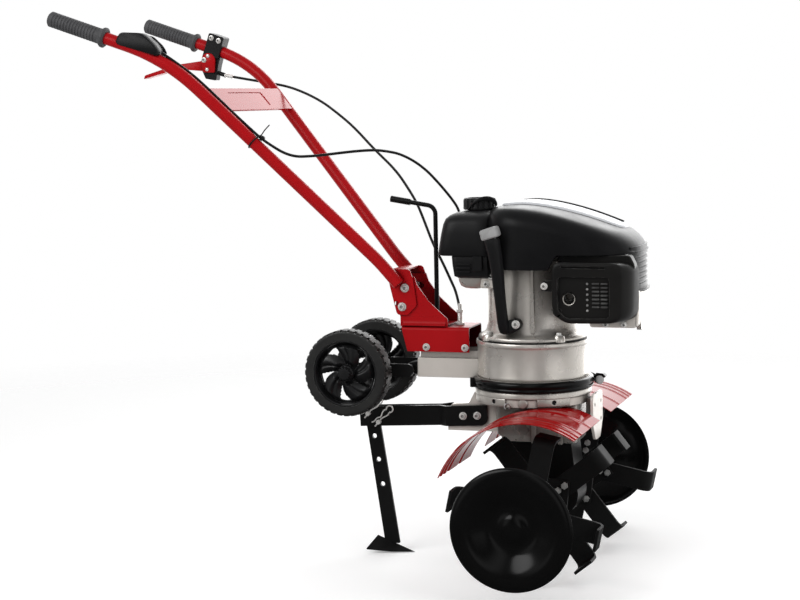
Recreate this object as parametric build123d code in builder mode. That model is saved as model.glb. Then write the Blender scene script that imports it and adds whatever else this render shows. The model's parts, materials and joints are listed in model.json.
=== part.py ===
from build123d import *
import os
from math import atan2, cos, degrees, hypot, pi, radians, sin, tan

os.makedirs("parts", exist_ok=True)

# Garden tiller, in millimetres. The datum is the tine axis on the centre plane:
# x is forward of it, y is to the machine's left of it and z is above it.

# Fits
RUN_GAP = 0.05  # radial clearance of a turning fit
SEAT_GAP = 0.2  # between pieces that are bolted or welded together
MOVE_GAP = 0.8  # between pieces that pass each other
END_GAP = 1.0  # between the end of a cable and its ferrule

# Tines and discs
TIP_R = 158.0  # tine axis to the outer face of a bent blade tip
BLADE_W = 45.0
BLADE_T = 6.0
BLADE_TIP = 58.0  # how far a tip reaches sideways
BLADE_BEND_R = 14.0  # inside radius of the bend
BLADE_ROOT_R = 30.0
BLADE_BOLT_R = (40.0, 58.0)  # bolt places along the blade
INNER_Y = 122.0
OUTER_Y = 252.0
INNER_PHASE = 218.0  # degrees from forward towards up
OUTER_PHASE = 258.0
SHAFT_R = 12.5
SHAFT_HALF = 180.0
HUB_WALL = 5.5
HUB_END = 372.0
FLANGE_HALF = 50.0
FLANGE_T = 6.0
DISC_R = 125.0
DISC_Y = 404.0
DISC_T = 2.5
DISC_STEP_R = 81.0
DISC_BOSS_R = 29.0
HUB_PIN_Y = 88.0
HUB_PIN_R = 4.0

# Worm drive
MODULE = 3.0
WHEEL_TEETH = 25
WHEEL_HALF = 8.0
AXIS_OFFSET = 52.0  # crank and worm axis behind the tine axis
WORM_SHAFT_R = 10.0
TOOTH_THICK = 3.4

# Gear case and neck
CASE_HALF = 42.0
CASE_WALL = 6.0
CASE_R = 54.0  # round nose about the tine axis
BOSS_R = 30.0
BOSS_OUT = 8.0
NECK_R = 122.0
NECK_WALL = 16.0
NECK_FLOOR = 8.0
NECK_TOP = 249.3
LUG_HALF = 24.0
FRONT_PLATE_X = 84.0
FRONT_PLATE_T = 6.0
FRONT_PLATE_HALF = 48.0
PLATE_HOLES = (60.0, 38.0)
PLATE_HOLE_Z = 173.0
PLATE_HOLE_R = 4.25

# Clamp ring and clutch housing
RING_R = 131.0
RING_Z = 225.0
RING_H = 24.0
RING_SPLIT = 26.0  # degrees from forward to the latch
HOUSING_R = 118.8
HOUSING_WALL = 7.0
HOUSING_TOP = 329.2

# Mudguards
GUARD_R = 195.0
GUARD_T = 2.0
GUARD_IN = 58.0
GUARD_OUT = 300.0
GUARD_FRONT = 57.0  # degrees above the front horizon
GUARD_REAR = 157.0
GUARD_LIP = 9.0
GUARD_BOLT_X = (-28.0, 22.0)
GUARD_BOLT_Y = 82.0

# Drag bars and stake
BAR_T = 6.0
BAR_H = 44.0
BAR_SLOPE = 2.8  # degrees, rear end lower
BAR_X = -200.0
BAR_Z = 158.0
BAR_FRONT = 52.0
BAR_REAR = 246.0
BAR_BOLTS = (-2.0, 30.0)
STAKE_T = 15.0
STAKE_W = 32.0
STAKE_LEAN = 8.9  # degrees, bottom end forward
STAKE_X = -424.5  # locking pin, on the middle of the stake
STAKE_Z = 154.0
STAKE_UP = 17.0
HOLE_PITCH = 54.4
HOLE_R = 6.0
FOOT_HALF = 48.0
FOOT_LENGTH = 100.0
FOOT_RISE = 29.0
FOOT_T = 5.0
STAKE_PIN_R = 5.0
STOP_Z = 136.0  # stop pin that bears on the front edge of the stake
CLIP_WIRE = 3.0
CLIP_RISE = 45.0  # degrees
CLIP_REACH = 40.0
CLIP_EYE_R = 7.0

# Beam, channel and handle brackets
BEAM_HALF = 30.0
BEAM_Z = (237.5, 284.0)
BEAM_REAR = -303.0
SADDLE_Z = 349.6
CHANNEL_HALF = 45.0
CHANNEL_Z = (298.0, 354.0)
CHANNEL_X = (-337.0, -181.0)
CHANNEL_CUT = 15.0  # rear edge slants in by this much
SHEET_T = 4.0
CHANNEL_BOLTS = ((-277.0, 307.0), (-191.0, 307.0))
PIVOT = (-330.0, 397.0)
ADJUST = (-323.0, 438.0)
ADJUST_SWEEP = 12.0  # degrees each way in the curved slot
BOLT_R = 5.0
FRAME_BOLT_R = 4.0
LOWER_TOP = 462.0
UPPER_TOP = 479.0

# Handlebar
TUBE_D = 27.0
TUBE_WALL = 2.0
FOOT_XZ = (-332.0, 447.0)
KNEE_XZ = (-376.0, 496.0)
ELBOW_XZ = (-784.0, 939.0)
END_XZ = (-1053.0, 1032.0)
KNEE_R = 150.0
ELBOW_R = 330.0
GRIP_Y = 236.0
GRIP_R = 17.0
GRIP_LENGTH = 136.0
GRIP_CAP = 4.0
GRIP_RIBS = 15
COLLAR_R = 22.0
CROSS_X = -690.0
CROSS_LENGTH = 56.0
CROSS_LIFT = 6.0
CROSS_T = 2.0
CROSS_LIP = 9.0

# Controls
THROTTLE_BACK = 219.0  # from the end of the tube
THROTTLE_HALF = 15.0
LEVER_T = 3.0
CLUTCH_BACK = 183.0
CLUTCH_HALF = 11.0
CLAMP_HALF = 17.0
CLUTCH_PIVOT = (-12.0, -30.0)
LEVER_REACH = 165.0
LEVER_DROP = 37.6  # degrees below the grip line
CABLE_D = 6.0
CLUTCH_ROUTE = (  # forward, share of the grips' half spacing to the left, up
    (-802.0, 1.030, 900.0), (-752.0, 1.051, 891.0), (-688.0, 1.025, 879.0), (-610.0, 0.924, 848.0),
    (-551.5, 0.814, 812.0), (-507.0, 0.712, 782.0), (-447.0, 0.559, 732.0), (-387.0, 0.415, 688.0),
    (-347.0, 0.314, 642.0), (-325.0, 0.263, 611.0), (-304.0, 0.212, 568.0), (-285.5, 0.174, 527.0),
    (-260.0, 0.127, 486.0), (-241.0, 0.085, 452.0), (-222.0, 0.034, 420.0),
)
THROTTLE_TIES = ((328.0, 6.0), (392.0, 7.0), (456.0, 3.0), (515.0, 5.0), (548.0, 2.0))
THROTTLE_ROUTE = (
    (-544.0, -146.0, 727.0), (-493.0, -130.0, 728.0), (-443.0, -111.5, 733.5), (-408.5, -92.5, 736.8),
    (-376.7, -72.7, 738.0), (-354.0, -52.0, 733.9), (-334.0, -31.4, 727.6), (-309.0, -10.0, 711.5),
    (-289.0, 11.7, 690.9), (-276.0, 33.8, 670.2), (-265.0, 56.2, 649.4), (-251.4, 79.0, 623.8),
    (-243.0, 104.0, 599.0), (-236.0, 106.0, 560.0), (-226.0, 106.0, 528.0), (-212.0, 101.0, 502.0),
    (-197.0, 86.0, 486.0),
)

# Selector lever
SELECTOR_X = -266.0
SELECTOR_R = 5.0
SELECTOR_TOP = 612.0
SELECTOR_TIP = (-367.0, 629.0)

# Transport wheels
WHEEL_X = -438.6
WHEEL_R = 94.0
WHEEL_IN = 81.0
WHEEL_W = 45.0
RIM_R = 72.0
RIM_WALL = 6.0
WHEEL_HUB_R = 17.0
AXLE_R = 8.0
FORK_X = -320.0
FORK_Z = 258.0
FORK_IN = 48.0
FORK_T = 6.0
FORK_H = 28.0
SPOKES = 5
TREAD = 36

# Engine
ENGINE_FLANGE_R = 124.0
ENGINE_FLANGE_TOP = 345.0
CASE_DRUM_R = 103.0
CRANKCASE_TOP = 486.0
CRANK_R = 12.5
CYLINDER_X = (53.0, 176.0)
CYLINDER_Z = (392.0, 500.0)
FINS = 9
SHROUD_X = (-126.0, 198.0)
SHROUD_HALF = 148.0
SHROUD_Z = 518.0
SHROUD_TOP = 614.0
SHROUD_T = 3.0
SHROUD_CORNER = 70.0
CROWN_RISE = 4.0
PANEL_X = (-104.0, 104.0)
PANEL_Y = (-52.0, 118.0)
PANEL_T = 7.0
LIP_Z = 440.0
TANK_X = -242.0
TANK_Y = (-112.0, 96.0)
TANK_Z = (507.0, 600.0)
TANK_T = 3.0
CAP_AT = (-160.0, -20.0)
CAP_R = 33.0
CAP_H = 30.0
FILLER_FOOT = (-88.0, -114.0, 362.0)
FILLER_HEAD = (-101.0, -157.0, 551.0)
FILLER_R = 13.0
DIP_CAP_R = 19.0
MUFFLER_X = (20.0, 190.0)
MUFFLER_Y = (-163.0, -98.0)
MUFFLER_Z = (382.0, 512.0)
GUARD_WALL = 2.5
AIR_X = (-205.0, -128.0)
AIR_Z = (462.0, 507.0)
FLYWHEEL_R = 66.0
FLYWHEEL_Z = 530.0

# The machine stands on its lowest blade tips and on the stake's foot.
blade_lean = radians(270.0 - OUTER_PHASE)
GROUND_DROP = TIP_R * cos(blade_lean) + BLADE_W / 2 * sin(blade_lean)
grip_slope = atan2(END_XZ[1] - ELBOW_XZ[1], ELBOW_XZ[0] - END_XZ[0])
REAR_REACH = -END_XZ[0] + GRIP_CAP * cos(grip_slope) + (GRIP_R - 3.0) * sin(grip_slope)
FRONT_REACH = SHROUD_X[1]

# The part's origin is on the ground, under the middle of its length.
TINE_X = (REAR_REACH - FRONT_REACH) / 2
TINE_Z = GROUND_DROP
SIDES = (("right", -1), ("left", 1))
LOW = (Align.CENTER, Align.CENTER, Align.MIN)
HIGH = (Align.CENTER, Align.CENTER, Align.MAX)


def spot(x, y, z):
    """A point given from the datum."""
    return Vector(TINE_X + x, y, TINE_Z + z)


def side(y):
    """Plane seen from the right: local x is forward, local y is up, normal to the right."""
    return Plane(spot(0, y, 0), x_dir=(1, 0, 0), z_dir=(0, -1, 0))


def level(z):
    """Plane seen from above: local x is forward and local y is to the left."""
    return Plane(spot(0, 0, z))


def cross(x):
    """Plane seen from the front: local x is to the left, local y is up, normal forward."""
    return Plane(spot(x, 0, 0), x_dir=(0, 1, 0), z_dir=(1, 0, 0))


def right_at(x, y, z):
    """Plane that faces right, with its origin at a point."""
    return Plane(spot(x, y, z), x_dir=(1, 0, 0), z_dir=(0, -1, 0))


def save(builder, name):
    builder.part.label = name
    export_step(builder.part, f"parts/{name}.step")


def hex_bolt(shank_r, grip, nut=True):
    """A bolt along z: its head stands on z = 0 and its nut sits under z = -grip."""
    head_r = shank_r * 1.85
    head_h = shank_r * 1.2
    with BuildPart() as piece:
        with BuildSketch():
            RegularPolygon(head_r, 6)
        extrude(amount=head_h)
        chamfer(piece.faces().sort_by(Axis.Z)[-1].edges(), shank_r * 0.18)
        tail = grip + (shank_r * 2.0 if nut else 0.0)
        Cylinder(shank_r, tail, align=HIGH)
        if nut:
            with BuildSketch(Plane.XY.offset(-grip)):
                RegularPolygon(head_r, 6)
            extrude(amount=-shank_r * 1.6)
    return piece.part


# Handle tubes: straight along the bracket, out to the elbow, then back to the grip.
lower_plate_out = CHANNEL_HALF
upper_plate_in = lower_plate_out + 2 * SEAT_GAP
bracket_out = upper_plate_in + SHEET_T
foot_y = bracket_out + TUBE_D / 2 + SEAT_GAP


def placed(plane, at, out=0.0):
    """A plane moved to a local point and out along its normal."""
    return Plane(plane.from_local_coords((at[0], at[1], out)), x_dir=plane.x_dir, z_dir=plane.z_dir)


def handle_y(x):
    """How far the sloping run of a handle tube lies from the centre plane."""
    share = (KNEE_XZ[0] - x) / (KNEE_XZ[0] - ELBOW_XZ[0])
    return foot_y + share * (GRIP_Y - foot_y)


def handle_z(x):
    share = (KNEE_XZ[0] - x) / (KNEE_XZ[0] - ELBOW_XZ[0])
    return KNEE_XZ[1] + share * (ELBOW_XZ[1] - KNEE_XZ[1])


def on_handle(hand, back):
    """Plane on a tube's axis, forward of its end: local x is forward, local y is up."""
    along = Vector(cos(grip_slope), 0, -sin(grip_slope))
    return Plane(spot(END_XZ[0], hand * GRIP_Y, END_XZ[1]) + along * back, x_dir=along, z_dir=(0, -1, 0))


def handle_route(hand):
    with BuildLine():
        route = FilletPolyline(
            spot(END_XZ[0], hand * GRIP_Y, END_XZ[1]),
            spot(ELBOW_XZ[0], hand * GRIP_Y, ELBOW_XZ[1]),
            spot(KNEE_XZ[0], hand * foot_y, KNEE_XZ[1]),
            spot(FOOT_XZ[0], hand * foot_y, FOOT_XZ[1]),
            radius=[ELBOW_R, KNEE_R],
        )
    return route


def handle_rod(hand, radius):
    """A round rod along a handle tube's route."""
    line = handle_route(hand)
    with BuildPart() as rod:
        with BuildSketch(Plane(line @ 0, z_dir=line % 0)):
            Circle(radius)
        sweep(path=line)
    return rod.part


for name, hand in SIDES:
    tube_outside = handle_rod(hand, TUBE_D / 2)
    tube_inside = handle_rod(hand, TUBE_D / 2 - TUBE_WALL)
    with BuildPart() as tube:
        add(tube_outside)
        add(tube_inside, mode=Mode.SUBTRACT)
    save(tube, f"{name}_handle_tube")

# Grips: ribbed rubber sleeves with a closed end and a collar.
grip_bore = TUBE_D / 2 + RUN_GAP
rib_pitch = (GRIP_LENGTH - 26.0) / GRIP_RIBS
grip_outline = [(-GRIP_CAP, 0), (-GRIP_CAP, GRIP_R - 3.0), (-GRIP_CAP + 3.0, GRIP_R)]
for rib in range(GRIP_RIBS):
    start = 8.0 + rib * rib_pitch
    grip_outline += [(start, GRIP_R), (start + 1.0, GRIP_R - 1.5)]
    grip_outline += [(start + 0.4 * rib_pitch, GRIP_R - 1.5), (start + 0.4 * rib_pitch + 1.0, GRIP_R)]
grip_outline += [(GRIP_LENGTH - 14.0, GRIP_R), (GRIP_LENGTH - 7.0, COLLAR_R), (GRIP_LENGTH - 3.0, COLLAR_R)]
grip_outline += [(GRIP_LENGTH, COLLAR_R - 4.0), (GRIP_LENGTH, grip_bore)]
grip_outline += [(-SEAT_GAP, grip_bore), (-SEAT_GAP, 0)]
for name, hand in SIDES:
    grip_plane = on_handle(hand, 0)
    with BuildPart() as grip:
        with BuildSketch(grip_plane):
            with BuildLine():
                Polyline(*grip_outline, close=True)
            make_face()
        revolve(axis=Axis(grip_plane.origin, grip_plane.x_dir))
    save(grip, f"{name}_grip")

# Cross plate: thin sheet between the tubes, with its long edges folded down.
run_slope = atan2(ELBOW_XZ[1] - KNEE_XZ[1], KNEE_XZ[0] - ELBOW_XZ[0])
run_along = Vector(cos(run_slope), 0, -sin(run_slope))
run_up = Vector(sin(run_slope), 0, cos(run_slope))
run_spread = atan2(GRIP_Y - foot_y, hypot(ELBOW_XZ[0] - KNEE_XZ[0], ELBOW_XZ[1] - KNEE_XZ[1]))
cross_inset = (TUBE_D**2 / 4 - (CROSS_LIFT - CROSS_T) ** 2) ** 0.5 / cos(run_spread) + SEAT_GAP
cross_plane = Plane(
    spot(CROSS_X, 0, handle_z(CROSS_X)) + run_up * CROSS_LIFT, x_dir=run_along, z_dir=run_up
)


def cross_half(along):
    return handle_y(CROSS_X + along * cos(run_slope)) - cross_inset


cross_ends = (-CROSS_LENGTH / 2, CROSS_LENGTH / 2)
lip_half = cross_half(cross_ends[1]) - 12.0
with BuildPart() as cross_plate:
    with BuildSketch(cross_plane):
        with BuildLine():
            Polyline(
                (cross_ends[0], -cross_half(cross_ends[0])),
                (cross_ends[1], -cross_half(cross_ends[1])),
                (cross_ends[1], cross_half(cross_ends[1])),
                (cross_ends[0], cross_half(cross_ends[0])),
                close=True,
            )
        make_face()
    extrude(amount=-CROSS_T)
    with BuildSketch(cross_plane):
        with Locations((cross_ends[0] + CROSS_T / 2, 0), (cross_ends[1] - CROSS_T / 2, 0)):
            Rectangle(CROSS_T, 2 * lip_half)
    extrude(amount=-CROSS_LIP)
save(cross_plate, "cross_plate")

# Throttle: a domed housing that sits astride the right tube, with its lever on the inner side.
throttle_plane = on_handle(-1, THROTTLE_BACK)
throttle_pivot = (0.0, 21.0)
pivot_r = 5.0
strap_r = TUBE_D / 2 + SEAT_GAP + 2.8
right_clear = handle_rod(-1, TUBE_D / 2 + SEAT_GAP)
left_clear = handle_rod(1, TUBE_D / 2 + SEAT_GAP)
with BuildPart() as throttle_housing:
    with BuildSketch(throttle_plane):
        with BuildLine():
            Polyline((-50, 2), (-47, 14))
            ThreePointArc((-47, 14), (-40, 28), (-24, 35))
            Line((-24, 35), (12, 37))
            ThreePointArc((12, 37), (36, 33), (50, 22))
            Polyline((50, 22), (50, 2), (-50, 2))
        make_face()
    extrude(amount=THROTTLE_HALF, both=True)
    with BuildSketch(Plane(throttle_plane.origin, x_dir=(0, 1, 0), z_dir=throttle_plane.x_dir)):
        Circle(strap_r)
    extrude(amount=12.0, both=True)
    add(right_clear, mode=Mode.SUBTRACT)
    with BuildSketch(placed(throttle_plane, throttle_pivot, -THROTTLE_HALF)):
        Circle(pivot_r + RUN_GAP)
    extrude(amount=12.0, mode=Mode.SUBTRACT)
save(throttle_housing, "throttle_housing")

lever_face = -THROTTLE_HALF - MOVE_GAP
with BuildPart() as throttle_lever:
    with BuildSketch(throttle_plane.offset(lever_face)):
        with BuildLine():
            Line((-30, 12), (-26, 30))
            ThreePointArc((-26, 30), (6, 46), (40, 36))
            ThreePointArc((40, 36), (52, 26), (50, 14))
            Line((50, 14), (-30, 12))
        make_face()
    extrude(amount=-LEVER_T)
    with BuildSketch(placed(throttle_plane, throttle_pivot, lever_face)):
        Circle(pivot_r)
    extrude(amount=10.0)
    with BuildSketch(placed(throttle_plane, (44, 26), lever_face - LEVER_T)):
        RectangleRounded(8, 16, 3)
    extrude(amount=-9.0)
save(throttle_lever, "throttle_lever")

# Clutch control: a clamp bracket under the left tube and the lever that pivots on it.
clutch_plane = on_handle(1, CLUTCH_BACK)
clamp_bolts = ((-10.0, 25.0), (10.0, 24.0))
small_bolt_r = 3.0
lever_pin_r = BOLT_R - 1.0
ferrule_at = (46.0, -50.0)
ferrule_r = 5.0
with BuildPart() as clutch_bracket:
    with BuildSketch(clutch_plane):
        with BuildLine():
            FilletPolyline(
                (-19, 35), (19, 33), (22, 4), (24, -34), (29, -68), (2, -72), (-22, -46), (-22, 4),
                radius=4.0, close=True,
            )
        make_face()
        with Locations(CLUTCH_PIVOT):
            Circle(lever_pin_r + RUN_GAP, mode=Mode.SUBTRACT)
    extrude(amount=CLUTCH_HALF, both=True)
    with BuildSketch(placed(clutch_plane, (1, 9))):
        RectangleRounded(40, 52, 4)
    extrude(amount=CLAMP_HALF, both=True)
    with BuildSketch(clutch_plane):
        with Locations(*clamp_bolts):
            Circle(small_bolt_r + RUN_GAP)
    extrude(amount=CLAMP_HALF, both=True, mode=Mode.SUBTRACT)
    ferrule_root = placed(clutch_plane, (20, ferrule_at[1]))
    with BuildSketch(Plane(ferrule_root.origin, x_dir=(0, 1, 0), z_dir=clutch_plane.x_dir)):
        Circle(ferrule_r)
    extrude(amount=ferrule_at[0] - 20)
    add(left_clear, mode=Mode.SUBTRACT)
save(clutch_bracket, "clutch_bracket")

lever_dir = Vector(-cos(radians(LEVER_DROP)), -sin(radians(LEVER_DROP)))
lever_side = Vector(-lever_dir.Y, lever_dir.X)


def on_lever(along, across):
    """A point in the clutch plane, given along and across the lever."""
    place = Vector(*CLUTCH_PIVOT) + lever_dir * along + lever_side * across
    return (place.X, place.Y)


cheek_in = CLUTCH_HALF + MOVE_GAP
cheek_t = 2.5
lever_outline = [(-9, -6), (-10, 12), (16, 34), (34, 26), (48, 9), (LEVER_REACH, 6)]
lever_outline += [(LEVER_REACH + 4, 0), (LEVER_REACH, -7), (30, -13), (0, -10)]
lever_web = [(60, 8.5), (LEVER_REACH, 6), (LEVER_REACH + 4, 0), (LEVER_REACH, -3), (60, 4.5)]
with BuildPart() as clutch_lever:
    for offset_out in (cheek_in, -cheek_in - cheek_t):
        with BuildSketch(clutch_plane.offset(offset_out)):
            with BuildLine():
                Polyline(*[on_lever(*point) for point in lever_outline], close=True)
            make_face()
            with Locations(CLUTCH_PIVOT):
                Circle(lever_pin_r + RUN_GAP, mode=Mode.SUBTRACT)
        extrude(amount=cheek_t)
    with BuildSketch(clutch_plane):
        with BuildLine():
            Polyline(*[on_lever(*point) for point in lever_web], close=True)
        make_face()
    extrude(amount=cheek_in + cheek_t, both=True)
save(clutch_lever, "clutch_lever")

# Upper handle bracket: two cheeks and a top web, welded to the tubes.
slot_r = hypot(ADJUST[0] - PIVOT[0], ADJUST[1] - PIVOT[1])
slot_angle = degrees(atan2(ADJUST[1] - PIVOT[1], ADJUST[0] - PIVOT[0]))
with BuildPart() as handle_bracket:
    for offset_out in (upper_plate_in, -upper_plate_in - SHEET_T):
        with BuildSketch(side(0).offset(offset_out)):
            with BuildLine():
                FilletPolyline(
                    (-364, UPPER_TOP), (-312, UPPER_TOP), (-304, 455), (-297, 400), (-318, 379),
                    (-342, 379),
                    (-357, 440), radius=9.0, close=True,
                )
            make_face()
            with Locations(PIVOT, ADJUST):
                Circle(BOLT_R + RUN_GAP, mode=Mode.SUBTRACT)
            with Locations((-343, 404)):
                Circle(BOLT_R, mode=Mode.SUBTRACT)
        extrude(amount=SHEET_T)
    with BuildSketch(level(UPPER_TOP - SHEET_T)):
        with Locations((-337, 0)):
            Rectangle(32, 2 * upper_plate_in + SHEET_T)
    extrude(amount=SHEET_T)
save(handle_bracket, "handle_bracket")

# Lower handle bracket: base plate and two gusset cheeks with a curved slot for the height bolt.
slot_path = CenterArc(PIVOT, slot_r, slot_angle - ADJUST_SWEEP - 2, 2 * ADJUST_SWEEP + 4)
with BuildPart() as lower_bracket:
    for offset_out in (lower_plate_out - SHEET_T, -lower_plate_out):
        with BuildSketch(side(0).offset(offset_out)):
            with BuildLine():
                Polyline(
                    (-336, CHANNEL_Z[1] + SEAT_GAP), (-229, CHANNEL_Z[1] + SEAT_GAP), (-229, 371),
                    (-246, 386), (-272, 410), (-298, 446), (-303, LOWER_TOP), (-342, LOWER_TOP),
                    (-346, 400), (-336, 376), close=True,
                )
            make_face()
            with Locations(PIVOT):
                Circle(BOLT_R + RUN_GAP, mode=Mode.SUBTRACT)
            SlotArc(slot_path, 2 * BOLT_R + MOVE_GAP, mode=Mode.SUBTRACT)
        extrude(amount=SHEET_T)
    with BuildSketch(level(CHANNEL_Z[1] + SEAT_GAP)):
        with Locations((-282.5, 0)):
            Rectangle(107, 2 * lower_plate_out)
        with Locations((SELECTOR_X, 0)):
            Circle(SELECTOR_R + RUN_GAP, mode=Mode.SUBTRACT)
    extrude(amount=SHEET_T)
save(lower_bracket, "lower_bracket")

# Handlebar bolts: pivot, height bolt, clutch clamp screws and the clutch lever's pivot.
lever_grip = cheek_in + cheek_t + RUN_GAP
handle_bolt = hex_bolt(BOLT_R, 2 * bracket_out)
clamp_bolt = hex_bolt(small_bolt_r, 2 * CLAMP_HALF)
lever_bolt = hex_bolt(lever_pin_r, 2 * lever_grip)
with BuildPart() as handlebar_bolts:
    with Locations(*[right_at(forward, -bracket_out, up) for forward, up in (PIVOT, ADJUST)]):
        add(handle_bolt)
    with Locations(*[placed(clutch_plane, at, CLAMP_HALF) for at in clamp_bolts]):
        add(clamp_bolt)
    with Locations(placed(clutch_plane, CLUTCH_PIVOT, lever_grip)):
        add(lever_bolt)
save(handlebar_bolts, "handlebar_bolts")

# Base channel: folded sheet under the handle bracket, with the clutch cable's ferrule on top.
cable_post = (-214.0, 0.0, 384.0)
with BuildPart() as base_channel:
    with BuildSketch(cross(CHANNEL_X[0])):
        with BuildLine():
            Polyline(
                (-CHANNEL_HALF, CHANNEL_Z[0]), (-CHANNEL_HALF, CHANNEL_Z[1]), (CHANNEL_HALF, CHANNEL_Z[1]),
                (CHANNEL_HALF, CHANNEL_Z[0]), (CHANNEL_HALF - SHEET_T, CHANNEL_Z[0]),
                (CHANNEL_HALF - SHEET_T, CHANNEL_Z[1] - SHEET_T),
                (SHEET_T - CHANNEL_HALF, CHANNEL_Z[1] - SHEET_T),
                (SHEET_T - CHANNEL_HALF, CHANNEL_Z[0]), close=True,
            )
        make_face()
    extrude(amount=CHANNEL_X[1] - CHANNEL_X[0])
    with BuildSketch(side(0)):
        with BuildLine():
            Polyline(
                (CHANNEL_X[0], CHANNEL_Z[0]), (CHANNEL_X[0] + CHANNEL_CUT, CHANNEL_Z[0]),
                (CHANNEL_X[0], CHANNEL_Z[1] - SHEET_T), close=True,
            )
        make_face()
        with Locations(*CHANNEL_BOLTS):
            Circle(FRAME_BOLT_R + RUN_GAP)
    extrude(amount=2 * CHANNEL_HALF, both=True, mode=Mode.SUBTRACT)
    with BuildSketch(level(CHANNEL_Z[1])):
        with Locations((SELECTOR_X, 0)):
            Circle(SELECTOR_R + RUN_GAP)
    extrude(amount=-SHEET_T, mode=Mode.SUBTRACT)
    with BuildSketch(level(CHANNEL_Z[1])):
        with Locations(cable_post[:2]):
            Circle(ferrule_r + 1.5)
    extrude(amount=cable_post[2] - CHANNEL_Z[1])
save(base_channel, "base_channel")

# Main beam: casting from the clutch housing back to the wheel pivot, with a saddle for the channel.
saddle_half = CHANNEL_HALF - SHEET_T - SEAT_GAP
with BuildPart() as main_beam:
    with BuildSketch(side(0)):
        with BuildLine():
            Polyline(
                (BEAM_REAR, BEAM_Z[0] + 6), (BEAM_REAR + 8, BEAM_Z[0]), (-AXIS_OFFSET, BEAM_Z[0]),
                (-AXIS_OFFSET, BEAM_Z[1]), (BEAM_REAR, BEAM_Z[1]), close=True,
            )
        make_face()
    extrude(amount=BEAM_HALF, both=True)
    with BuildSketch(side(0)):
        with BuildLine():
            Polyline(
                (BEAM_REAR, BEAM_Z[1] - 4), (BEAM_REAR + 4, SADDLE_Z), (CHANNEL_X[1] - 4, SADDLE_Z),
                (CHANNEL_X[1] - 4, CHANNEL_Z[0]), (CHANNEL_X[1] + 8, BEAM_Z[1] - 4), close=True,
            )
        make_face()
    extrude(amount=saddle_half, both=True)
    with BuildSketch(level(SADDLE_Z)):
        with Locations((-243, 0)):
            RectangleRounded(88, 56, 10)
    extrude(amount=-46, mode=Mode.SUBTRACT)
    with BuildSketch(side(0)):
        with Locations((FORK_X, FORK_Z)):
            Circle(2 * AXLE_R)
        with Locations(((FORK_X + BEAM_REAR) / 2, FORK_Z)):
            Rectangle(BEAM_REAR - FORK_X + 4, 4 * AXLE_R)
    extrude(amount=BEAM_HALF - 12, both=True)
    with BuildSketch(side(0)):
        with Locations((FORK_X, FORK_Z)):
            Circle(AXLE_R + RUN_GAP)
        with Locations(*CHANNEL_BOLTS):
            Circle(FRAME_BOLT_R + RUN_GAP)
    extrude(amount=CHANNEL_HALF, both=True, mode=Mode.SUBTRACT)
    with BuildSketch(level(BEAM_Z[0])):
        with Locations((-AXIS_OFFSET, 0)):
            Circle(HOUSING_R + SEAT_GAP)
    extrude(amount=SADDLE_Z - BEAM_Z[0], mode=Mode.SUBTRACT)
    with BuildSketch(level(BEAM_Z[0])):
        with Locations((-AXIS_OFFSET, 0)):
            Circle(RING_R + MOVE_GAP)
    extrude(amount=NECK_TOP + SEAT_GAP - BEAM_Z[0], mode=Mode.SUBTRACT)
save(main_beam, "main_beam")

# Selector lever: bent rod that turns in the channel and the bracket's base plate.
with BuildLine() as selector_route:
    FilletPolyline(
        spot(SELECTOR_X, 0, 318), spot(SELECTOR_X, 0, SELECTOR_TOP),
        spot(SELECTOR_TIP[0], 0, SELECTOR_TIP[1]), radius=20.0,
    )
selector_line = selector_route.line
base_top = CHANNEL_Z[1] + SEAT_GAP + SHEET_T
with BuildPart() as selector_lever:
    with BuildSketch(Plane(selector_line @ 0, z_dir=selector_line % 0)):
        Circle(SELECTOR_R)
    sweep(path=selector_line)
    with BuildSketch(Plane(selector_line @ 1, z_dir=selector_line % 1)):
        Circle(SELECTOR_R + 2.0)
    extrude(amount=-45.0)
    with BuildSketch(level(base_top + MOVE_GAP)):
        with Locations((SELECTOR_X, 0)):
            Circle(SELECTOR_R + 4.0)
    extrude(amount=8.0)
save(selector_lever, "selector_lever")

# Wheel fork: cross shaft in the beam's lug, two arms and two stub axles.
stub_end = WHEEL_IN + WHEEL_W + 2.0
with BuildPart() as wheel_fork:
    with BuildSketch(side(0)):
        with Locations((FORK_X, FORK_Z)):
            Circle(AXLE_R)
    extrude(amount=FORK_IN + FORK_T, both=True)
    for offset_out in (FORK_IN, -FORK_IN - FORK_T):
        with BuildSketch(side(0).offset(offset_out)):
            with Locations(((FORK_X + WHEEL_X) / 2, FORK_Z)):
                SlotCenterToCenter(FORK_X - WHEEL_X, FORK_H)
        extrude(amount=FORK_T)
    for name, hand in SIDES:
        with BuildSketch(side(hand * (FORK_IN + 1))):
            with Locations((WHEEL_X, FORK_Z)):
                Circle(AXLE_R)
        extrude(amount=-hand * (stub_end - FORK_IN - 1))
        with BuildSketch(side(hand * (FORK_IN + 1))):
            with Locations((WHEEL_X, FORK_Z)):
                Circle(AXLE_R + 5.0)
        extrude(amount=-hand * (WHEEL_IN - MOVE_GAP - FORK_IN - 1))
save(wheel_fork, "wheel_fork")

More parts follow.
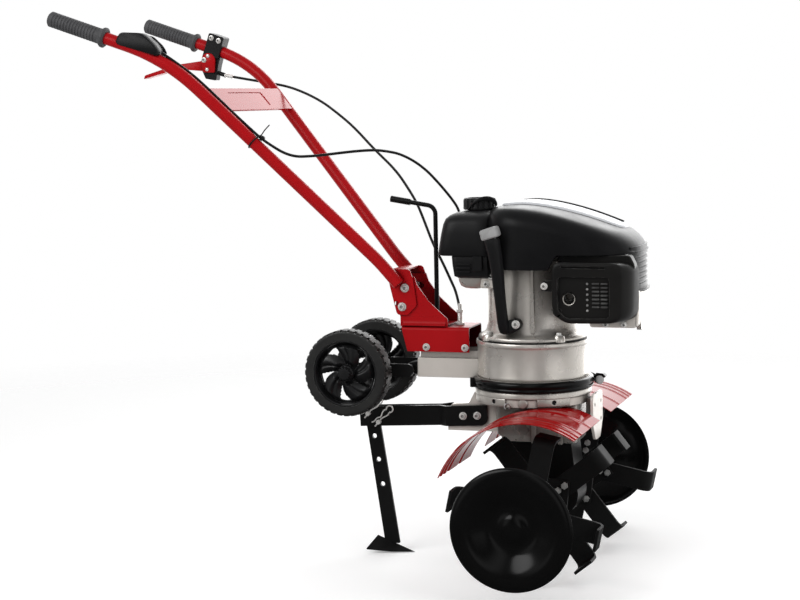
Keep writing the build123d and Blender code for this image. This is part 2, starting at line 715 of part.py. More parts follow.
# Transport wheels: spoked plastic rims with a closed cap, and tyres with notched shoulders.
spoke_arc = ThreePointArc((WHEEL_HUB_R - 5, 0), (42, 13), (RIM_R - 10, 8))
for name, hand in SIDES:
    wheel_plane = side(hand * WHEEL_IN)
    with BuildPart() as wheel_rim:
        with BuildSketch(placed(wheel_plane, (WHEEL_X, FORK_Z))):
            Circle(RIM_R)
            Circle(RIM_R - RIM_WALL, mode=Mode.SUBTRACT)
            Circle(WHEEL_HUB_R)
        extrude(amount=-hand * WHEEL_W)
        with BuildSketch(placed(wheel_plane, (WHEEL_X, FORK_Z), -hand * 12.0)):
            Circle(RIM_R - 1)
            Circle(RIM_R - 14, mode=Mode.SUBTRACT)
            Circle(WHEEL_HUB_R + 8)
            with PolarLocations(0, SPOKES):
                SlotArc(spoke_arc, 11.0)
        extrude(amount=-hand * (WHEEL_W - 24.0))
        with BuildSketch(placed(wheel_plane, (WHEEL_X, FORK_Z), -hand * WHEEL_W)):
            Circle(WHEEL_HUB_R + 4)
        extrude(amount=-hand * 7.0)
        with BuildSketch(placed(wheel_plane, (WHEEL_X, FORK_Z))):
            Circle(AXLE_R + RUN_GAP)
        extrude(amount=-hand * (WHEEL_W + 3.0), mode=Mode.SUBTRACT)
    save(wheel_rim, f"{name}_wheel_rim")

    with BuildPart() as tyre:
        with BuildSketch(placed(wheel_plane, (WHEEL_X, FORK_Z))):
            Circle(WHEEL_R)
            Circle(RIM_R + SEAT_GAP, mode=Mode.SUBTRACT)
        extrude(amount=-hand * WHEEL_W)
        fillet(tyre.edges().filter_by(GeomType.CIRCLE).sort_by(SortBy.RADIUS)[-2:], 7.0)
        with BuildSketch(placed(wheel_plane, (WHEEL_X, FORK_Z))):
            with PolarLocations(WHEEL_R, TREAD):
                Rectangle(7.0, 6.0)
        extrude(amount=-hand * 15.0, mode=Mode.SUBTRACT)
        with BuildSketch(placed(wheel_plane, (WHEEL_X, FORK_Z), -hand * (WHEEL_W - 15.0))):
            with PolarLocations(WHEEL_R, TREAD, start_angle=180.0 / TREAD):
                Rectangle(7.0, 6.0)
        extrude(amount=-hand * 15.0, mode=Mode.SUBTRACT)
    save(tyre, f"{name}_tyre")

# Drag bars: two joggled plates that grip the neck's lug in front and the stake behind.
bar_along = Vector(cos(radians(BAR_SLOPE)), 0, sin(radians(BAR_SLOPE)))
bar_up = Vector(-sin(radians(BAR_SLOPE)), 0, cos(radians(BAR_SLOPE)))
bar_plane = Plane(spot(BAR_X, 0, BAR_Z), x_dir=bar_along, z_dir=bar_up)
bar_lug = LUG_HALF + SEAT_GAP
bar_stake = STAKE_T / 2 + 2 * SEAT_GAP
stake_lean = radians(STAKE_LEAN)
stake_down = Vector(sin(stake_lean), 0, -cos(stake_lean))
stake_front = STAKE_X + (STAKE_Z - STOP_Z) * tan(stake_lean) + STAKE_W / 2 / cos(stake_lean)
stop_x = stake_front + STAKE_PIN_R + SEAT_GAP
bar_bolt_spots = [bar_plane.from_local_coords((along, 0, 0)) for along in BAR_BOLTS]
pin_spots = (spot(STAKE_X, 0, STAKE_Z), spot(stop_x, 0, STOP_Z))


def holes_across(places, radius, half):
    """Round rods across the machine, to cut holes with."""
    with BuildPart() as rods:
        with Locations(*[Plane(place, x_dir=(1, 0, 0), z_dir=(0, -1, 0)) for place in places]):
            Cylinder(radius, 2 * half)
    return rods.part


bar_bolt_holes = holes_across(bar_bolt_spots, FRAME_BOLT_R + RUN_GAP, 3 * LUG_HALF)
pin_holes = holes_across(pin_spots, STAKE_PIN_R + RUN_GAP, 3 * LUG_HALF)
for name, hand in SIDES:
    with BuildPart() as drag_bar:
        with BuildSketch(bar_plane):
            with BuildLine():
                Polyline(
                    (BAR_FRONT, hand * bar_lug), (BAR_FRONT, hand * (bar_lug + BAR_T)),
                    (-42, hand * (bar_lug + BAR_T)), (-60, hand * (bar_stake + BAR_T)),
                    (-BAR_REAR, hand * (bar_stake + BAR_T)), (-BAR_REAR, hand * bar_stake),
                    (-58, hand * bar_stake), (-40, hand * bar_lug), close=True,
                )
            make_face()
        extrude(amount=BAR_H / 2, both=True)
        fillet(drag_bar.edges().filter_by(Axis.Y).group_by(Axis.X)[-1], 16.0)
        add(bar_bolt_holes, mode=Mode.SUBTRACT)
        add(pin_holes, mode=Mode.SUBTRACT)
    save(drag_bar, f"{name}_drag_bar")

# Stake: flat bar with holes and a sweep foot whose lower edges rest on the ground.
ground = -GROUND_DROP
stake_plane = Plane(spot(STAKE_X, 0, STAKE_Z), x_dir=stake_down, z_dir=(0, -1, 0))
foot_rear = STAKE_X - 2.0
stake_length = (STAKE_Z - ground - FOOT_RISE * 0.55) / cos(stake_lean)
stake_holes = [(HOLE_PITCH * step, 0) for step in (1, 2, 3)]


def sweep_profile(share):
    """Folded section of the foot, smaller towards its point."""
    half = FOOT_HALF * share
    rise = FOOT_RISE * share
    wide = 1.6 * FOOT_T * share
    inner = rise - FOOT_T * share * 1.1
    return [(-half, 0), (0, rise), (half, 0), (half - wide, 0), (0, inner), (wide - half, 0)]


with BuildPart() as drag_stake:
    for along, share in ((foot_rear, 1.0), (foot_rear + FOOT_LENGTH, 0.06)):
        with BuildSketch(Plane(spot(along, 0, ground), x_dir=(0, 1, 0), z_dir=(1, 0, 0))):
            with BuildLine():
                Polyline(*sweep_profile(share), close=True)
            make_face()
    loft(ruled=True)
    with BuildSketch(stake_plane):
        with Locations(((stake_length - STAKE_UP) / 2, 0)):
            Rectangle(stake_length + STAKE_UP, STAKE_W)
        with Locations((0, 0)):
            Circle(STAKE_PIN_R + RUN_GAP, mode=Mode.SUBTRACT)
        with Locations(*stake_holes):
            Circle(HOLE_R, mode=Mode.SUBTRACT)
    extrude(amount=STAKE_T / 2, both=True)
save(drag_stake, "drag_stake")

# Stake pins: one through the stake and one in front of it, each with a cross hole for its clip.
clip_along = Vector(cos(radians(CLIP_RISE)), 0, sin(radians(CLIP_RISE)))
pin_face = bar_stake + BAR_T
clip_y = -(pin_face + CLIP_WIRE / 2 + 2.0)
with BuildPart() as stake_pins:
    for place in pin_spots:
        pin_start = Plane(place + Vector(0, pin_face + SEAT_GAP, 0), x_dir=(1, 0, 0), z_dir=(0, -1, 0))
        with BuildSketch(pin_start):
            Circle(STAKE_PIN_R)
        extrude(amount=pin_face + SEAT_GAP - clip_y + 6.0)
        with BuildSketch(pin_start):
            Circle(STAKE_PIN_R + 3.0)
        extrude(amount=-4.0)
        with BuildSketch(Plane(place + Vector(0, clip_y, 0) - clip_along * 20, z_dir=clip_along)):
            Circle(CLIP_WIRE / 2 + MOVE_GAP / 2)
        extrude(amount=40.0, mode=Mode.SUBTRACT)
save(stake_pins, "stake_pins")

clip_clear = STAKE_PIN_R + CLIP_WIRE / 2 + MOVE_GAP
for name, place in (("stake_clip", pin_spots[0]), ("stop_clip", pin_spots[1])):
    clip_plane = Plane(place + Vector(0, clip_y, 0), x_dir=clip_along, z_dir=(0, -1, 0))
    with BuildLine(clip_plane) as clip_route:
        Line((-16, 0), (CLIP_REACH, 0))
        ThreePointArc((CLIP_REACH, 0), (CLIP_REACH + CLIP_EYE_R, CLIP_EYE_R), (CLIP_REACH, 2 * CLIP_EYE_R))
        ThreePointArc((CLIP_REACH, 2 * CLIP_EYE_R), (CLIP_REACH - 13, clip_clear - 2), (10, clip_clear))
        ThreePointArc((10, clip_clear), (0, clip_clear + 1), (-12, clip_clear + 6))
    clip_line = clip_route.line
    with BuildPart() as clip:
        with BuildSketch(Plane(clip_line @ 0, z_dir=clip_line % 0)):
            Circle(CLIP_WIRE / 2)
        sweep(path=clip_line, transition=Transition.ROUND)
    save(clip, name)

# Gearbox neck: a cup under the clutch housing, with the drag lug behind and the front plate.
case_top = NECK_TOP - 54.0
neck_base = case_top + SEAT_GAP
neck_floor = neck_base + NECK_FLOOR
hub_axis = (-AXIS_OFFSET, 0)
guard_places = [(x, hand * GUARD_BOLT_Y) for x in GUARD_BOLT_X for name, hand in SIDES]
with BuildPart() as gearbox_neck:
    with BuildSketch(level(neck_base)):
        with Locations(hub_axis):
            Circle(NECK_R)
    extrude(amount=NECK_TOP - neck_base)
    with BuildSketch(side(0)):
        with BuildLine():
            Polyline(
                (-238, 125), (-238, 172), (-228, 183), (-190, 186), (-174, 216), (-162, 216),
                (-162, neck_base + 1), (-119.5, neck_base + 1), (-119.5, 125), close=True,
            )
        make_face()
    extrude(amount=LUG_HALF, both=True)
    with BuildSketch(level(neck_floor)):
        with Locations(hub_axis):
            Circle(NECK_R - NECK_WALL)
    extrude(amount=NECK_TOP - neck_floor, mode=Mode.SUBTRACT)
    with BuildSketch(level(neck_base)):
        with Locations(hub_axis):
            Circle(WORM_SHAFT_R + RUN_GAP)
        with Locations(*guard_places):
            Circle(FRAME_BOLT_R + RUN_GAP)
    extrude(amount=NECK_FLOOR, mode=Mode.SUBTRACT)
    add(bar_bolt_holes, mode=Mode.SUBTRACT)
    with BuildSketch(cross(FRONT_PLATE_X)):
        with BuildLine():
            FilletPolyline(
                (-FRONT_PLATE_HALF, 214), (FRONT_PLATE_HALF, 214), (FRONT_PLATE_HALF, 150), (22, 115),
                (-22, 115), (-FRONT_PLATE_HALF, 150), radius=12.0, close=True,
            )
        make_face()
        with Locations((0, PLATE_HOLE_Z)):
            with GridLocations(*PLATE_HOLES, 2, 2):
                Circle(PLATE_HOLE_R, mode=Mode.SUBTRACT)
    extrude(amount=FRONT_PLATE_T)
    with BuildSketch(level(neck_base)):
        with Locations(((FRONT_PLATE_X + 50) / 2, -10), ((FRONT_PLATE_X + 50) / 2, 10)):
            Rectangle(FRONT_PLATE_X - 50 + 2, 8)
    extrude(amount=NECK_FLOOR)
    with BuildSketch(level(neck_base)):
        with Locations((FRONT_PLATE_X - 8, -10), (FRONT_PLATE_X - 8, 10)):
            Rectangle(18, 8)
    extrude(amount=-40.0)
save(gearbox_neck, "gearbox_neck")

# Gear case: two halves split on the centre plane, round the worm drive.
for name, hand in SIDES:
    case_plane = side(hand * SEAT_GAP / 2)
    with BuildPart() as gear_case:
        with BuildSketch(case_plane) as case_sketch:
            with BuildLine():
                Polyline((0, -CASE_R), (-84, -CASE_R), (-84, 40), (-112, 110), (-118, case_top))
                Polyline((-118, case_top), (44, case_top), (40, 110), (CASE_R, 0))
                ThreePointArc((CASE_R, 0), (CASE_R * cos(pi / 4), -CASE_R * sin(pi / 4)), (0, -CASE_R))
            make_face()
        extrude(amount=-hand * CASE_HALF)
        with BuildSketch(side(hand * (CASE_HALF - 1))):
            Circle(BOSS_R)
        extrude(amount=-hand * (BOSS_OUT + 1))
        with BuildSketch(case_plane):
            add(case_sketch.sketch_local)
            offset(amount=-CASE_WALL, mode=Mode.REPLACE)
        extrude(amount=-hand * (CASE_HALF - CASE_WALL), mode=Mode.SUBTRACT)
        with BuildSketch(case_plane):
            Circle(SHAFT_R + RUN_GAP)
        extrude(amount=-hand * (CASE_HALF + BOSS_OUT), mode=Mode.SUBTRACT)
        with BuildSketch(level(case_top)):
            with Locations(hub_axis):
                Circle(WORM_SHAFT_R + RUN_GAP)
        extrude(amount=-2 * CASE_WALL, mode=Mode.SUBTRACT)
    save(gear_case, f"{name}_gear_case")

# Worm drive: worm with its clutch drum, and the wheel on the tine shaft.
wheel_pitch_r = MODULE * WHEEL_TEETH / 2
worm_pitch_r = AXIS_OFFSET - wheel_pitch_r
worm_lead = pi * MODULE
worm_turns = 6
addendum = 0.83 * MODULE
dedendum = 1.1 * MODULE
flank = tan(radians(20.0))
drum_z = neck_floor + 12.0
drum_r = NECK_R - NECK_WALL - 14.0
drum_top = NECK_TOP - 6.0
thread_crest = TOOTH_THICK / 2 - addendum * flank
thread_root = TOOTH_THICK / 2 + (dedendum + 0.5) * flank
with BuildPart() as worm_shaft:
    with Locations(spot(-AXIS_OFFSET, 0, -40)):
        Cylinder(WORM_SHAFT_R, drum_z + 40, align=LOW)
    with Locations(spot(-AXIS_OFFSET, 0, 0)):
        Cylinder(worm_pitch_r - dedendum, worm_lead * (worm_turns + 1))
    with BuildLine() as thread_path:
        thread_start = spot(-AXIS_OFFSET, 0, -worm_lead * worm_turns / 2)
        Helix(worm_lead, worm_lead * worm_turns, worm_pitch_r, center=thread_start)
    with BuildSketch(Plane(thread_path.line @ 0, x_dir=(1, 0, 0), z_dir=thread_path.line % 0)):
        with BuildLine():
            Polyline(
                (-dedendum - 0.5, -thread_root), (addendum, -thread_crest), (addendum, thread_crest),
                (-dedendum - 0.5, thread_root), close=True,
            )
        make_face()
    sweep(path=thread_path.line, is_frenet=True)
    with Locations(spot(-AXIS_OFFSET, 0, drum_z)):
        Cylinder(drum_r, drum_top - drum_z, align=LOW)
    with Locations(spot(-AXIS_OFFSET, 0, drum_z + 6.0)):
        Cylinder(drum_r - 6.0, drum_top - drum_z, align=LOW, mode=Mode.SUBTRACT)
save(worm_shaft, "worm_shaft")

tooth_crest = TOOTH_THICK / 2 - addendum * flank
tooth_root = TOOTH_THICK / 2 + (dedendum + 0.5) * flank
with BuildPart() as worm_wheel:
    with BuildSketch(side(0)):
        Circle(wheel_pitch_r - dedendum)
        with PolarLocations(wheel_pitch_r, WHEEL_TEETH, start_angle=180 + 180 / WHEEL_TEETH):
            Polygon(
                (-dedendum - 0.5, -tooth_root), (addendum, -tooth_crest), (addendum, tooth_crest),
                (-dedendum - 0.5, tooth_root), align=None,
            )
        Circle(SHAFT_R + RUN_GAP, mode=Mode.SUBTRACT)
    extrude(amount=WHEEL_HALF, both=True)
save(worm_wheel, "worm_wheel")

# Tine shaft and hubs: each hub is a pinned tube with two square flanges.
hub_r = SHAFT_R + RUN_GAP + HUB_WALL
hub_start = CASE_HALF + BOSS_OUT + MOVE_GAP
hub_pin_places = [spot(0, hand * HUB_PIN_Y, 0) for name, hand in SIDES]


def hub_pin(radius, half):
    """Upright pins through the tine shaft and its hubs."""
    with BuildPart() as pins:
        with Locations(*hub_pin_places):
            Cylinder(radius, 2 * half)
    return pins.part


pin_bores = hub_pin(HUB_PIN_R + RUN_GAP, 2 * hub_r)
with BuildPart() as tine_shaft:
    with BuildSketch(side(0)):
        Circle(SHAFT_R)
    extrude(amount=SHAFT_HALF, both=True)
    add(pin_bores, mode=Mode.SUBTRACT)
save(tine_shaft, "tine_shaft")

# Blades are bolted to both faces of each flange and bend away from it, in turn.
rotors = ((INNER_Y, INNER_PHASE), (OUTER_Y, OUTER_PHASE))
tine_bolt_r = 4.0


def blade_planes(hand):
    """One plane for each blade: local x is outward along the blade, local y is the way its tip bends."""
    planes = []
    for flange_y, phase in rotors:
        for step in range(4):
            turn = radians(phase + 90 * step)
            along = Vector(cos(turn), 0, sin(turn))
            outer = step % 2 == 1
            bend = hand if outer else -hand
            face = flange_y + FLANGE_T + SEAT_GAP if outer else flange_y - SEAT_GAP
            across = along.cross(Vector(0, bend, 0))
            planes.append(Plane(spot(0, hand * face, 0), x_dir=along, z_dir=across))
    return planes


with BuildPart() as blade:
    with BuildSketch():
        with BuildLine():
            Polyline(
                (BLADE_ROOT_R, 0), (TIP_R, 0), (TIP_R, BLADE_TIP), (TIP_R - BLADE_T, BLADE_TIP),
                (TIP_R - BLADE_T, BLADE_T), (BLADE_ROOT_R, BLADE_T), close=True,
            )
        make_face()
        corners = vertices().group_by(Axis.X)
        fillet(corners[-1].sort_by(Axis.Y)[0], BLADE_BEND_R + BLADE_T)
        fillet(vertices().sort_by_distance((TIP_R - BLADE_T, BLADE_T))[0], BLADE_BEND_R)
    extrude(amount=BLADE_W / 2, both=True)
    with BuildSketch(Plane.XZ):
        with Locations(*[(radius, 0) for radius in BLADE_BOLT_R]):
            Circle(tine_bolt_r + RUN_GAP)
    extrude(amount=2 * BLADE_T, both=True, mode=Mode.SUBTRACT)

for name, hand in SIDES:
    with BuildPart() as tine_hub:
        with BuildSketch(side(hand * hub_start)):
            Circle(hub_r)
        extrude(amount=-hand * (HUB_END - hub_start))
        for flange_y, phase in rotors:
            with BuildSketch(side(hand * flange_y)):
                Rectangle(2 * FLANGE_HALF, 2 * FLANGE_HALF, rotation=phase + 45)
                with PolarLocations(BLADE_BOLT_R[0], 4, start_angle=phase):
                    Circle(tine_bolt_r + RUN_GAP, mode=Mode.SUBTRACT)
                with PolarLocations(BLADE_BOLT_R[1], 4, start_angle=phase):
                    Circle(tine_bolt_r + RUN_GAP, mode=Mode.SUBTRACT)
            extrude(amount=-hand * FLANGE_T)
        with BuildSketch(side(hand * hub_start)):
            Circle(SHAFT_R + RUN_GAP)
        extrude(amount=-hand * (HUB_END - hub_start), mode=Mode.SUBTRACT)
        add(pin_bores, mode=Mode.SUBTRACT)
    save(tine_hub, f"{name}_tine_hub")

    with BuildPart() as tine_blades:
        with Locations(*blade_planes(hand)):
            add(blade.part)
    save(tine_blades, f"{name}_tine_blades")

blade_grip = BLADE_T + FLANGE_T + 2 * SEAT_GAP
blade_bolt = hex_bolt(tine_bolt_r, blade_grip)
bolt_planes = []
for name, hand in SIDES:
    for plane in blade_planes(hand):
        for radius in BLADE_BOLT_R:
            outside = plane.from_local_coords((radius, BLADE_T + SEAT_GAP / 2, 0))
            bolt_planes.append(Plane(outside, x_dir=plane.x_dir, z_dir=plane.y_dir))
hub_pin_rods = hub_pin(HUB_PIN_R, hub_r + 4.0)
with BuildPart() as tine_bolts:
    with Locations(*bolt_planes):
        add(blade_bolt)
    add(hub_pin_rods)
    with Locations(*[place + Vector(0, 0, hub_r + 0.5) for place in hub_pin_places]):
        Cylinder(2 * HUB_PIN_R, 4.0, align=LOW)
save(tine_bolts, "tine_bolts")

# Side discs: dished plates with a boss and a stub that plugs into the hub.
for name, hand in SIDES:
    with BuildPart() as disc:
        with BuildSketch(Plane(spot(0, 0, 0), x_dir=(1, 0, 0), z_dir=(0, 0, 1))):
            with BuildLine():
                Polyline(
                    (0, hand * (HUB_END - 40)), (SHAFT_R, hand * (HUB_END - 40)),
                    (SHAFT_R, hand * (DISC_Y - 12)), (DISC_BOSS_R, hand * (DISC_Y - 12)),
                    (DISC_BOSS_R, hand * (DISC_Y - 6)), (DISC_STEP_R - 6, hand * (DISC_Y - 6)),
                    (DISC_STEP_R, hand * DISC_Y), (DISC_R - 6, hand * DISC_Y),
                    (DISC_R, hand * (DISC_Y - 5)), (DISC_R, hand * (DISC_Y - 2)),
                    (DISC_R - 5, hand * (DISC_Y + DISC_T)), (DISC_STEP_R - 2, hand * (DISC_Y + DISC_T)),
                    (DISC_STEP_R - 8, hand * (DISC_Y - 6 + DISC_T)),
                    (DISC_BOSS_R + 3, hand * (DISC_Y - 6 + DISC_T)),
                    (DISC_BOSS_R, hand * (DISC_Y + 5)), (0, hand * (DISC_Y + 5)), close=True,
                )
            make_face()
        revolve(axis=Axis(spot(0, 0, 0), (0, 1, 0)))
    save(disc, f"{name}_disc")

# Mudguards: bent sheets above the tines, bolted up into the neck.
guard_inside = GUARD_R - GUARD_T
guard_sweep = GUARD_REAR - GUARD_FRONT


def guard_sector(inside_r):
    """Arched strip from the guard's front edge to its rear edge."""
    with BuildSketch() as sector:
        with BuildLine():
            outer = CenterArc((0, 0), GUARD_R, GUARD_FRONT, guard_sweep)
            inner = CenterArc((0, 0), inside_r, GUARD_FRONT, guard_sweep)
            Line(outer @ 0, inner @ 0)
            Line(outer @ 1, inner @ 1)
        make_face()
    return sector.sketch


for name, hand in SIDES:
    with BuildPart() as mudguard:
        with BuildSketch(level(neck_base - SEAT_GAP)):
            with Locations(*[(x, hand * GUARD_BOLT_Y) for x in GUARD_BOLT_X]):
                Circle(3 * FRAME_BOLT_R)
        extrude(amount=-GUARD_R / 8)
        with BuildSketch(side(0)):
            Circle(GUARD_R - GUARD_T / 2)
        extrude(amount=-hand * GUARD_OUT, mode=Mode.SUBTRACT)
        with BuildSketch(side(hand * GUARD_IN)):
            add(guard_sector(guard_inside))
        extrude(amount=-hand * (GUARD_OUT - GUARD_IN))
        with BuildSketch(side(hand * (GUARD_OUT - GUARD_T))):
            add(guard_sector(GUARD_R - GUARD_LIP))
        extrude(amount=-hand * GUARD_T)
        with BuildSketch(level(neck_base)):
            with Locations(*[(x, hand * GUARD_BOLT_Y) for x in GUARD_BOLT_X]):
                Circle(FRAME_BOLT_R + RUN_GAP)
        extrude(amount=-GUARD_R / 4, mode=Mode.SUBTRACT)
    save(mudguard, f"{name}_mudguard")

# Clutch housing: ring casting between the neck and the engine, with four bolt lugs.
housing_base = NECK_TOP + SEAT_GAP
engine_base = HOUSING_TOP + SEAT_GAP
engine_bolt_r = 4.0
engine_bolt_circle = HOUSING_R - 5.0
with BuildPart() as clutch_housing:
    with BuildSketch(level(housing_base)):
        with Locations(hub_axis):
            Circle(HOUSING_R)
            with PolarLocations(engine_bolt_circle, 4, start_angle=45):
                Circle(2 * engine_bolt_r)
    extrude(amount=HOUSING_TOP - housing_base)
    with BuildSketch(level(housing_base)):
        with Locations(hub_axis):
            Circle(HOUSING_R - HOUSING_WALL)
            with PolarLocations(engine_bolt_circle, 4, start_angle=45):
                Circle(2 * engine_bolt_r, mode=Mode.SUBTRACT)
    extrude(amount=HOUSING_TOP - housing_base, mode=Mode.SUBTRACT)
    with BuildSketch(level(HOUSING_TOP)):
        with Locations(hub_axis):
            with PolarLocations(engine_bolt_circle, 4, start_angle=45):
                Circle(engine_bolt_r + RUN_GAP)
    extrude(amount=-26.0, mode=Mode.SUBTRACT)
save(clutch_housing, "clutch_housing")

# Clamp ring: open band round the neck, with a hinge barrel behind and a latch across its gap.
ring_turn = radians(RING_SPLIT)
latch_hinge = (
    -AXIS_OFFSET + (RING_R + 8) * cos(ring_turn - 0.24), (RING_R + 8) * sin(ring_turn - 0.24)
)
ear_z = (RING_Z + 6.0, RING_Z + RING_H - 6.0)
latch_pin_r = 3.0
with BuildPart() as clamp_ring:
    with BuildSketch(level(RING_Z)):
        with Locations(hub_axis):
            Circle(RING_R)
            with PolarLocations(RING_R + 1.0, 1, start_angle=RING_SPLIT + 180):
                Circle(7.0)
            Circle(NECK_R + SEAT_GAP, mode=Mode.SUBTRACT)
            with PolarLocations(RING_R, 1, start_angle=RING_SPLIT):
                Rectangle(40, 3.0, mode=Mode.SUBTRACT)
    extrude(amount=RING_H)
    with BuildSketch(level(ear_z[0])):
        with Locations(latch_hinge):
            Circle(6.0)
        with Locations(hub_axis):
            with PolarLocations(RING_R + 3.0, 1, start_angle=degrees(ring_turn - 0.24)):
                Rectangle(10, 12)
        with Locations(latch_hinge):
            Circle(latch_pin_r + RUN_GAP, mode=Mode.SUBTRACT)
    extrude(amount=ear_z[1] - ear_z[0])
save(clamp_ring, "clamp_ring")

# Clamp latch: a bar that bridges the ring's gap and swings out on its pin.
latch_dir = Vector(-sin(ring_turn), cos(ring_turn), 0)
latch_plane = Plane(spot(*latch_hinge, 0), x_dir=latch_dir, z_dir=(0, 0, 1))
latch_z = (RING_Z + 1.0, RING_Z + RING_H - 1.0)
with BuildPart() as clamp_latch:
    with BuildSketch(latch_plane.offset(latch_z[0])):
        Circle(6.0)
        with Locations((26, -1.5)):
            Rectangle(52, 5)
    extrude(amount=latch_z[1] - latch_z[0])
    with BuildSketch(latch_plane.offset(ear_z[0] - MOVE_GAP)):
        Circle(9.0)
    extrude(amount=ear_z[1] - ear_z[0] + 2 * MOVE_GAP, mode=Mode.SUBTRACT)
    with BuildSketch(latch_plane.offset(latch_z[0])):
        Circle(latch_pin_r)
    extrude(amount=latch_z[1] - latch_z[0])
    with BuildSketch(
        Plane(
            latch_plane.from_local_coords((32, -3, (latch_z[0] + latch_z[1]) / 2)), x_dir=(0, 0, 1),
            z_dir=latch_plane.from_local_coords((0, -1, 0)) - latch_plane.origin,
        )
    ):
        Circle(9.0)
    extrude(amount=9.0)
save(clamp_latch, "clamp_latch")

# Crankshaft: clutch plate below, crank in the middle, flywheel with fan blades above.
crank_foot = drum_z + 6.0 + 4.0
crank_mid = (ENGINE_FLANGE_TOP + CRANKCASE_TOP) / 2
crank_throw = 24.0
with BuildPart() as crankshaft:
    with Locations(spot(-AXIS_OFFSET, 0, crank_foot)):
        Cylinder(drum_r - 6.0 - 5.0, drum_top - crank_foot - 1.0, align=LOW)
        Cylinder(CRANK_R, crank_mid - 14.0 - crank_foot, align=LOW)
    with Locations(spot(-AXIS_OFFSET, 0, crank_mid + 14.0)):
        Cylinder(CRANK_R, FLYWHEEL_Z + 45.0 - crank_mid - 14.0, align=LOW)
    for base in (crank_mid - 24.0, crank_mid + 14.0):
        with BuildSketch(level(base)):
            with Locations((-AXIS_OFFSET + crank_throw / 2, 0)):
                SlotCenterToCenter(crank_throw, 44.0)
        extrude(amount=10.0)
    with Locations(spot(-AXIS_OFFSET + crank_throw, 0, crank_mid)):
        Cylinder(CRANK_R, 40.0)
    with BuildSketch(level(FLYWHEEL_Z)):
        with Locations(hub_axis):
            Circle(FLYWHEEL_R)
            Circle(CRANK_R + RUN_GAP, mode=Mode.SUBTRACT)
    extrude(amount=12.0)
    with BuildSketch(level(FLYWHEEL_Z + 12.0)):
        with Locations(hub_axis):
            with PolarLocations(FLYWHEEL_R - 14.0, 12):
                Rectangle(24.0, 3.0, rotation=25)
    extrude(amount=16.0)
save(crankshaft, "crankshaft")

# Crankcase: flange, round drum with a seam rib, and the crank's bearings.
case_wall = 8.0
with BuildPart() as crankcase:
    with BuildSketch(level(engine_base)):
        with Locations(hub_axis):
            Circle(ENGINE_FLANGE_R)
    extrude(amount=ENGINE_FLANGE_TOP - engine_base)
    with BuildSketch(level(ENGINE_FLANGE_TOP)):
        with Locations(hub_axis):
            Circle(CASE_DRUM_R)
    extrude(amount=CRANKCASE_TOP - ENGINE_FLANGE_TOP)
    with BuildSketch(level(CRANKCASE_TOP)):
        with Locations(hub_axis):
            Circle(3 * CRANK_R)
    extrude(amount=SHROUD_Z - CRANKCASE_TOP - 4.0)
    with BuildSketch(level(ENGINE_FLANGE_TOP + 4.0)):
        with Locations(hub_axis):
            Circle(CASE_DRUM_R - case_wall)
    extrude(amount=CRANKCASE_TOP - ENGINE_FLANGE_TOP - 12.0, mode=Mode.SUBTRACT)
    with BuildSketch(level(engine_base)):
        with Locations(hub_axis):
            Circle(CRANK_R + RUN_GAP)
            with PolarLocations(engine_bolt_circle, 4, start_angle=45):
                Circle(engine_bolt_r + RUN_GAP)
    extrude(amount=SHROUD_Z - engine_base, mode=Mode.SUBTRACT)
save(crankcase, "crankcase")

# Cylinder: finned block cut to the drum, with the head and a front heat shield.
fin_pitch = (CYLINDER_X[1] - 26.0 - CYLINDER_X[0]) / FINS
cylinder_mid = (CYLINDER_Z[0] + CYLINDER_Z[1]) / 2
cylinder_h = CYLINDER_Z[1] - CYLINDER_Z[0]
shield_x = SHROUD_X[1] - 12.0
with BuildPart() as cylinder_block:
    with BuildSketch(cross(0)):
        with Locations((0, cylinder_mid)):
            RectangleRounded(96, cylinder_h - 22, 12)
    extrude(amount=CYLINDER_X[1])
    for fin in range(FINS):
        with BuildSketch(cross(CYLINDER_X[0] + fin * fin_pitch)):
            with Locations((0, cylinder_mid)):
                RectangleRounded(136, cylinder_h, 16)
        extrude(amount=4.0)
    with BuildSketch(cross(CYLINDER_X[1] - 26.0)):
        with Locations((0, cylinder_mid)):
            RectangleRounded(136, cylinder_h, 16)
    extrude(amount=26.0)
    with BuildSketch(cross(CYLINDER_X[1])):
        with Locations((0, LIP_Z - 26.0)):
            Rectangle(60, 36)
    extrude(amount=shield_x + 2.0 - CYLINDER_X[1])
    with BuildSketch(cross(shield_x)):
        with Locations((0, (357 + LIP_Z - 2) / 2)):
            RectangleRounded(120, LIP_Z - 2 - 357, 10)
    extrude(amount=10.0)
    with BuildSketch(level(ENGINE_FLANGE_TOP)):
        with Locations(hub_axis):
            Circle(CASE_DRUM_R + SEAT_GAP)
    extrude(amount=CRANKCASE_TOP + SEAT_GAP - ENGINE_FLANGE_TOP, mode=Mode.SUBTRACT)
    with BuildSketch(level(CRANKCASE_TOP + SEAT_GAP)):
        with Locations((-AXIS_OFFSET, 0)):
            Circle(CASE_DRUM_R)
    extrude(amount=CYLINDER_Z[1], mode=Mode.SUBTRACT)
save(cylinder_block, "cylinder_block")


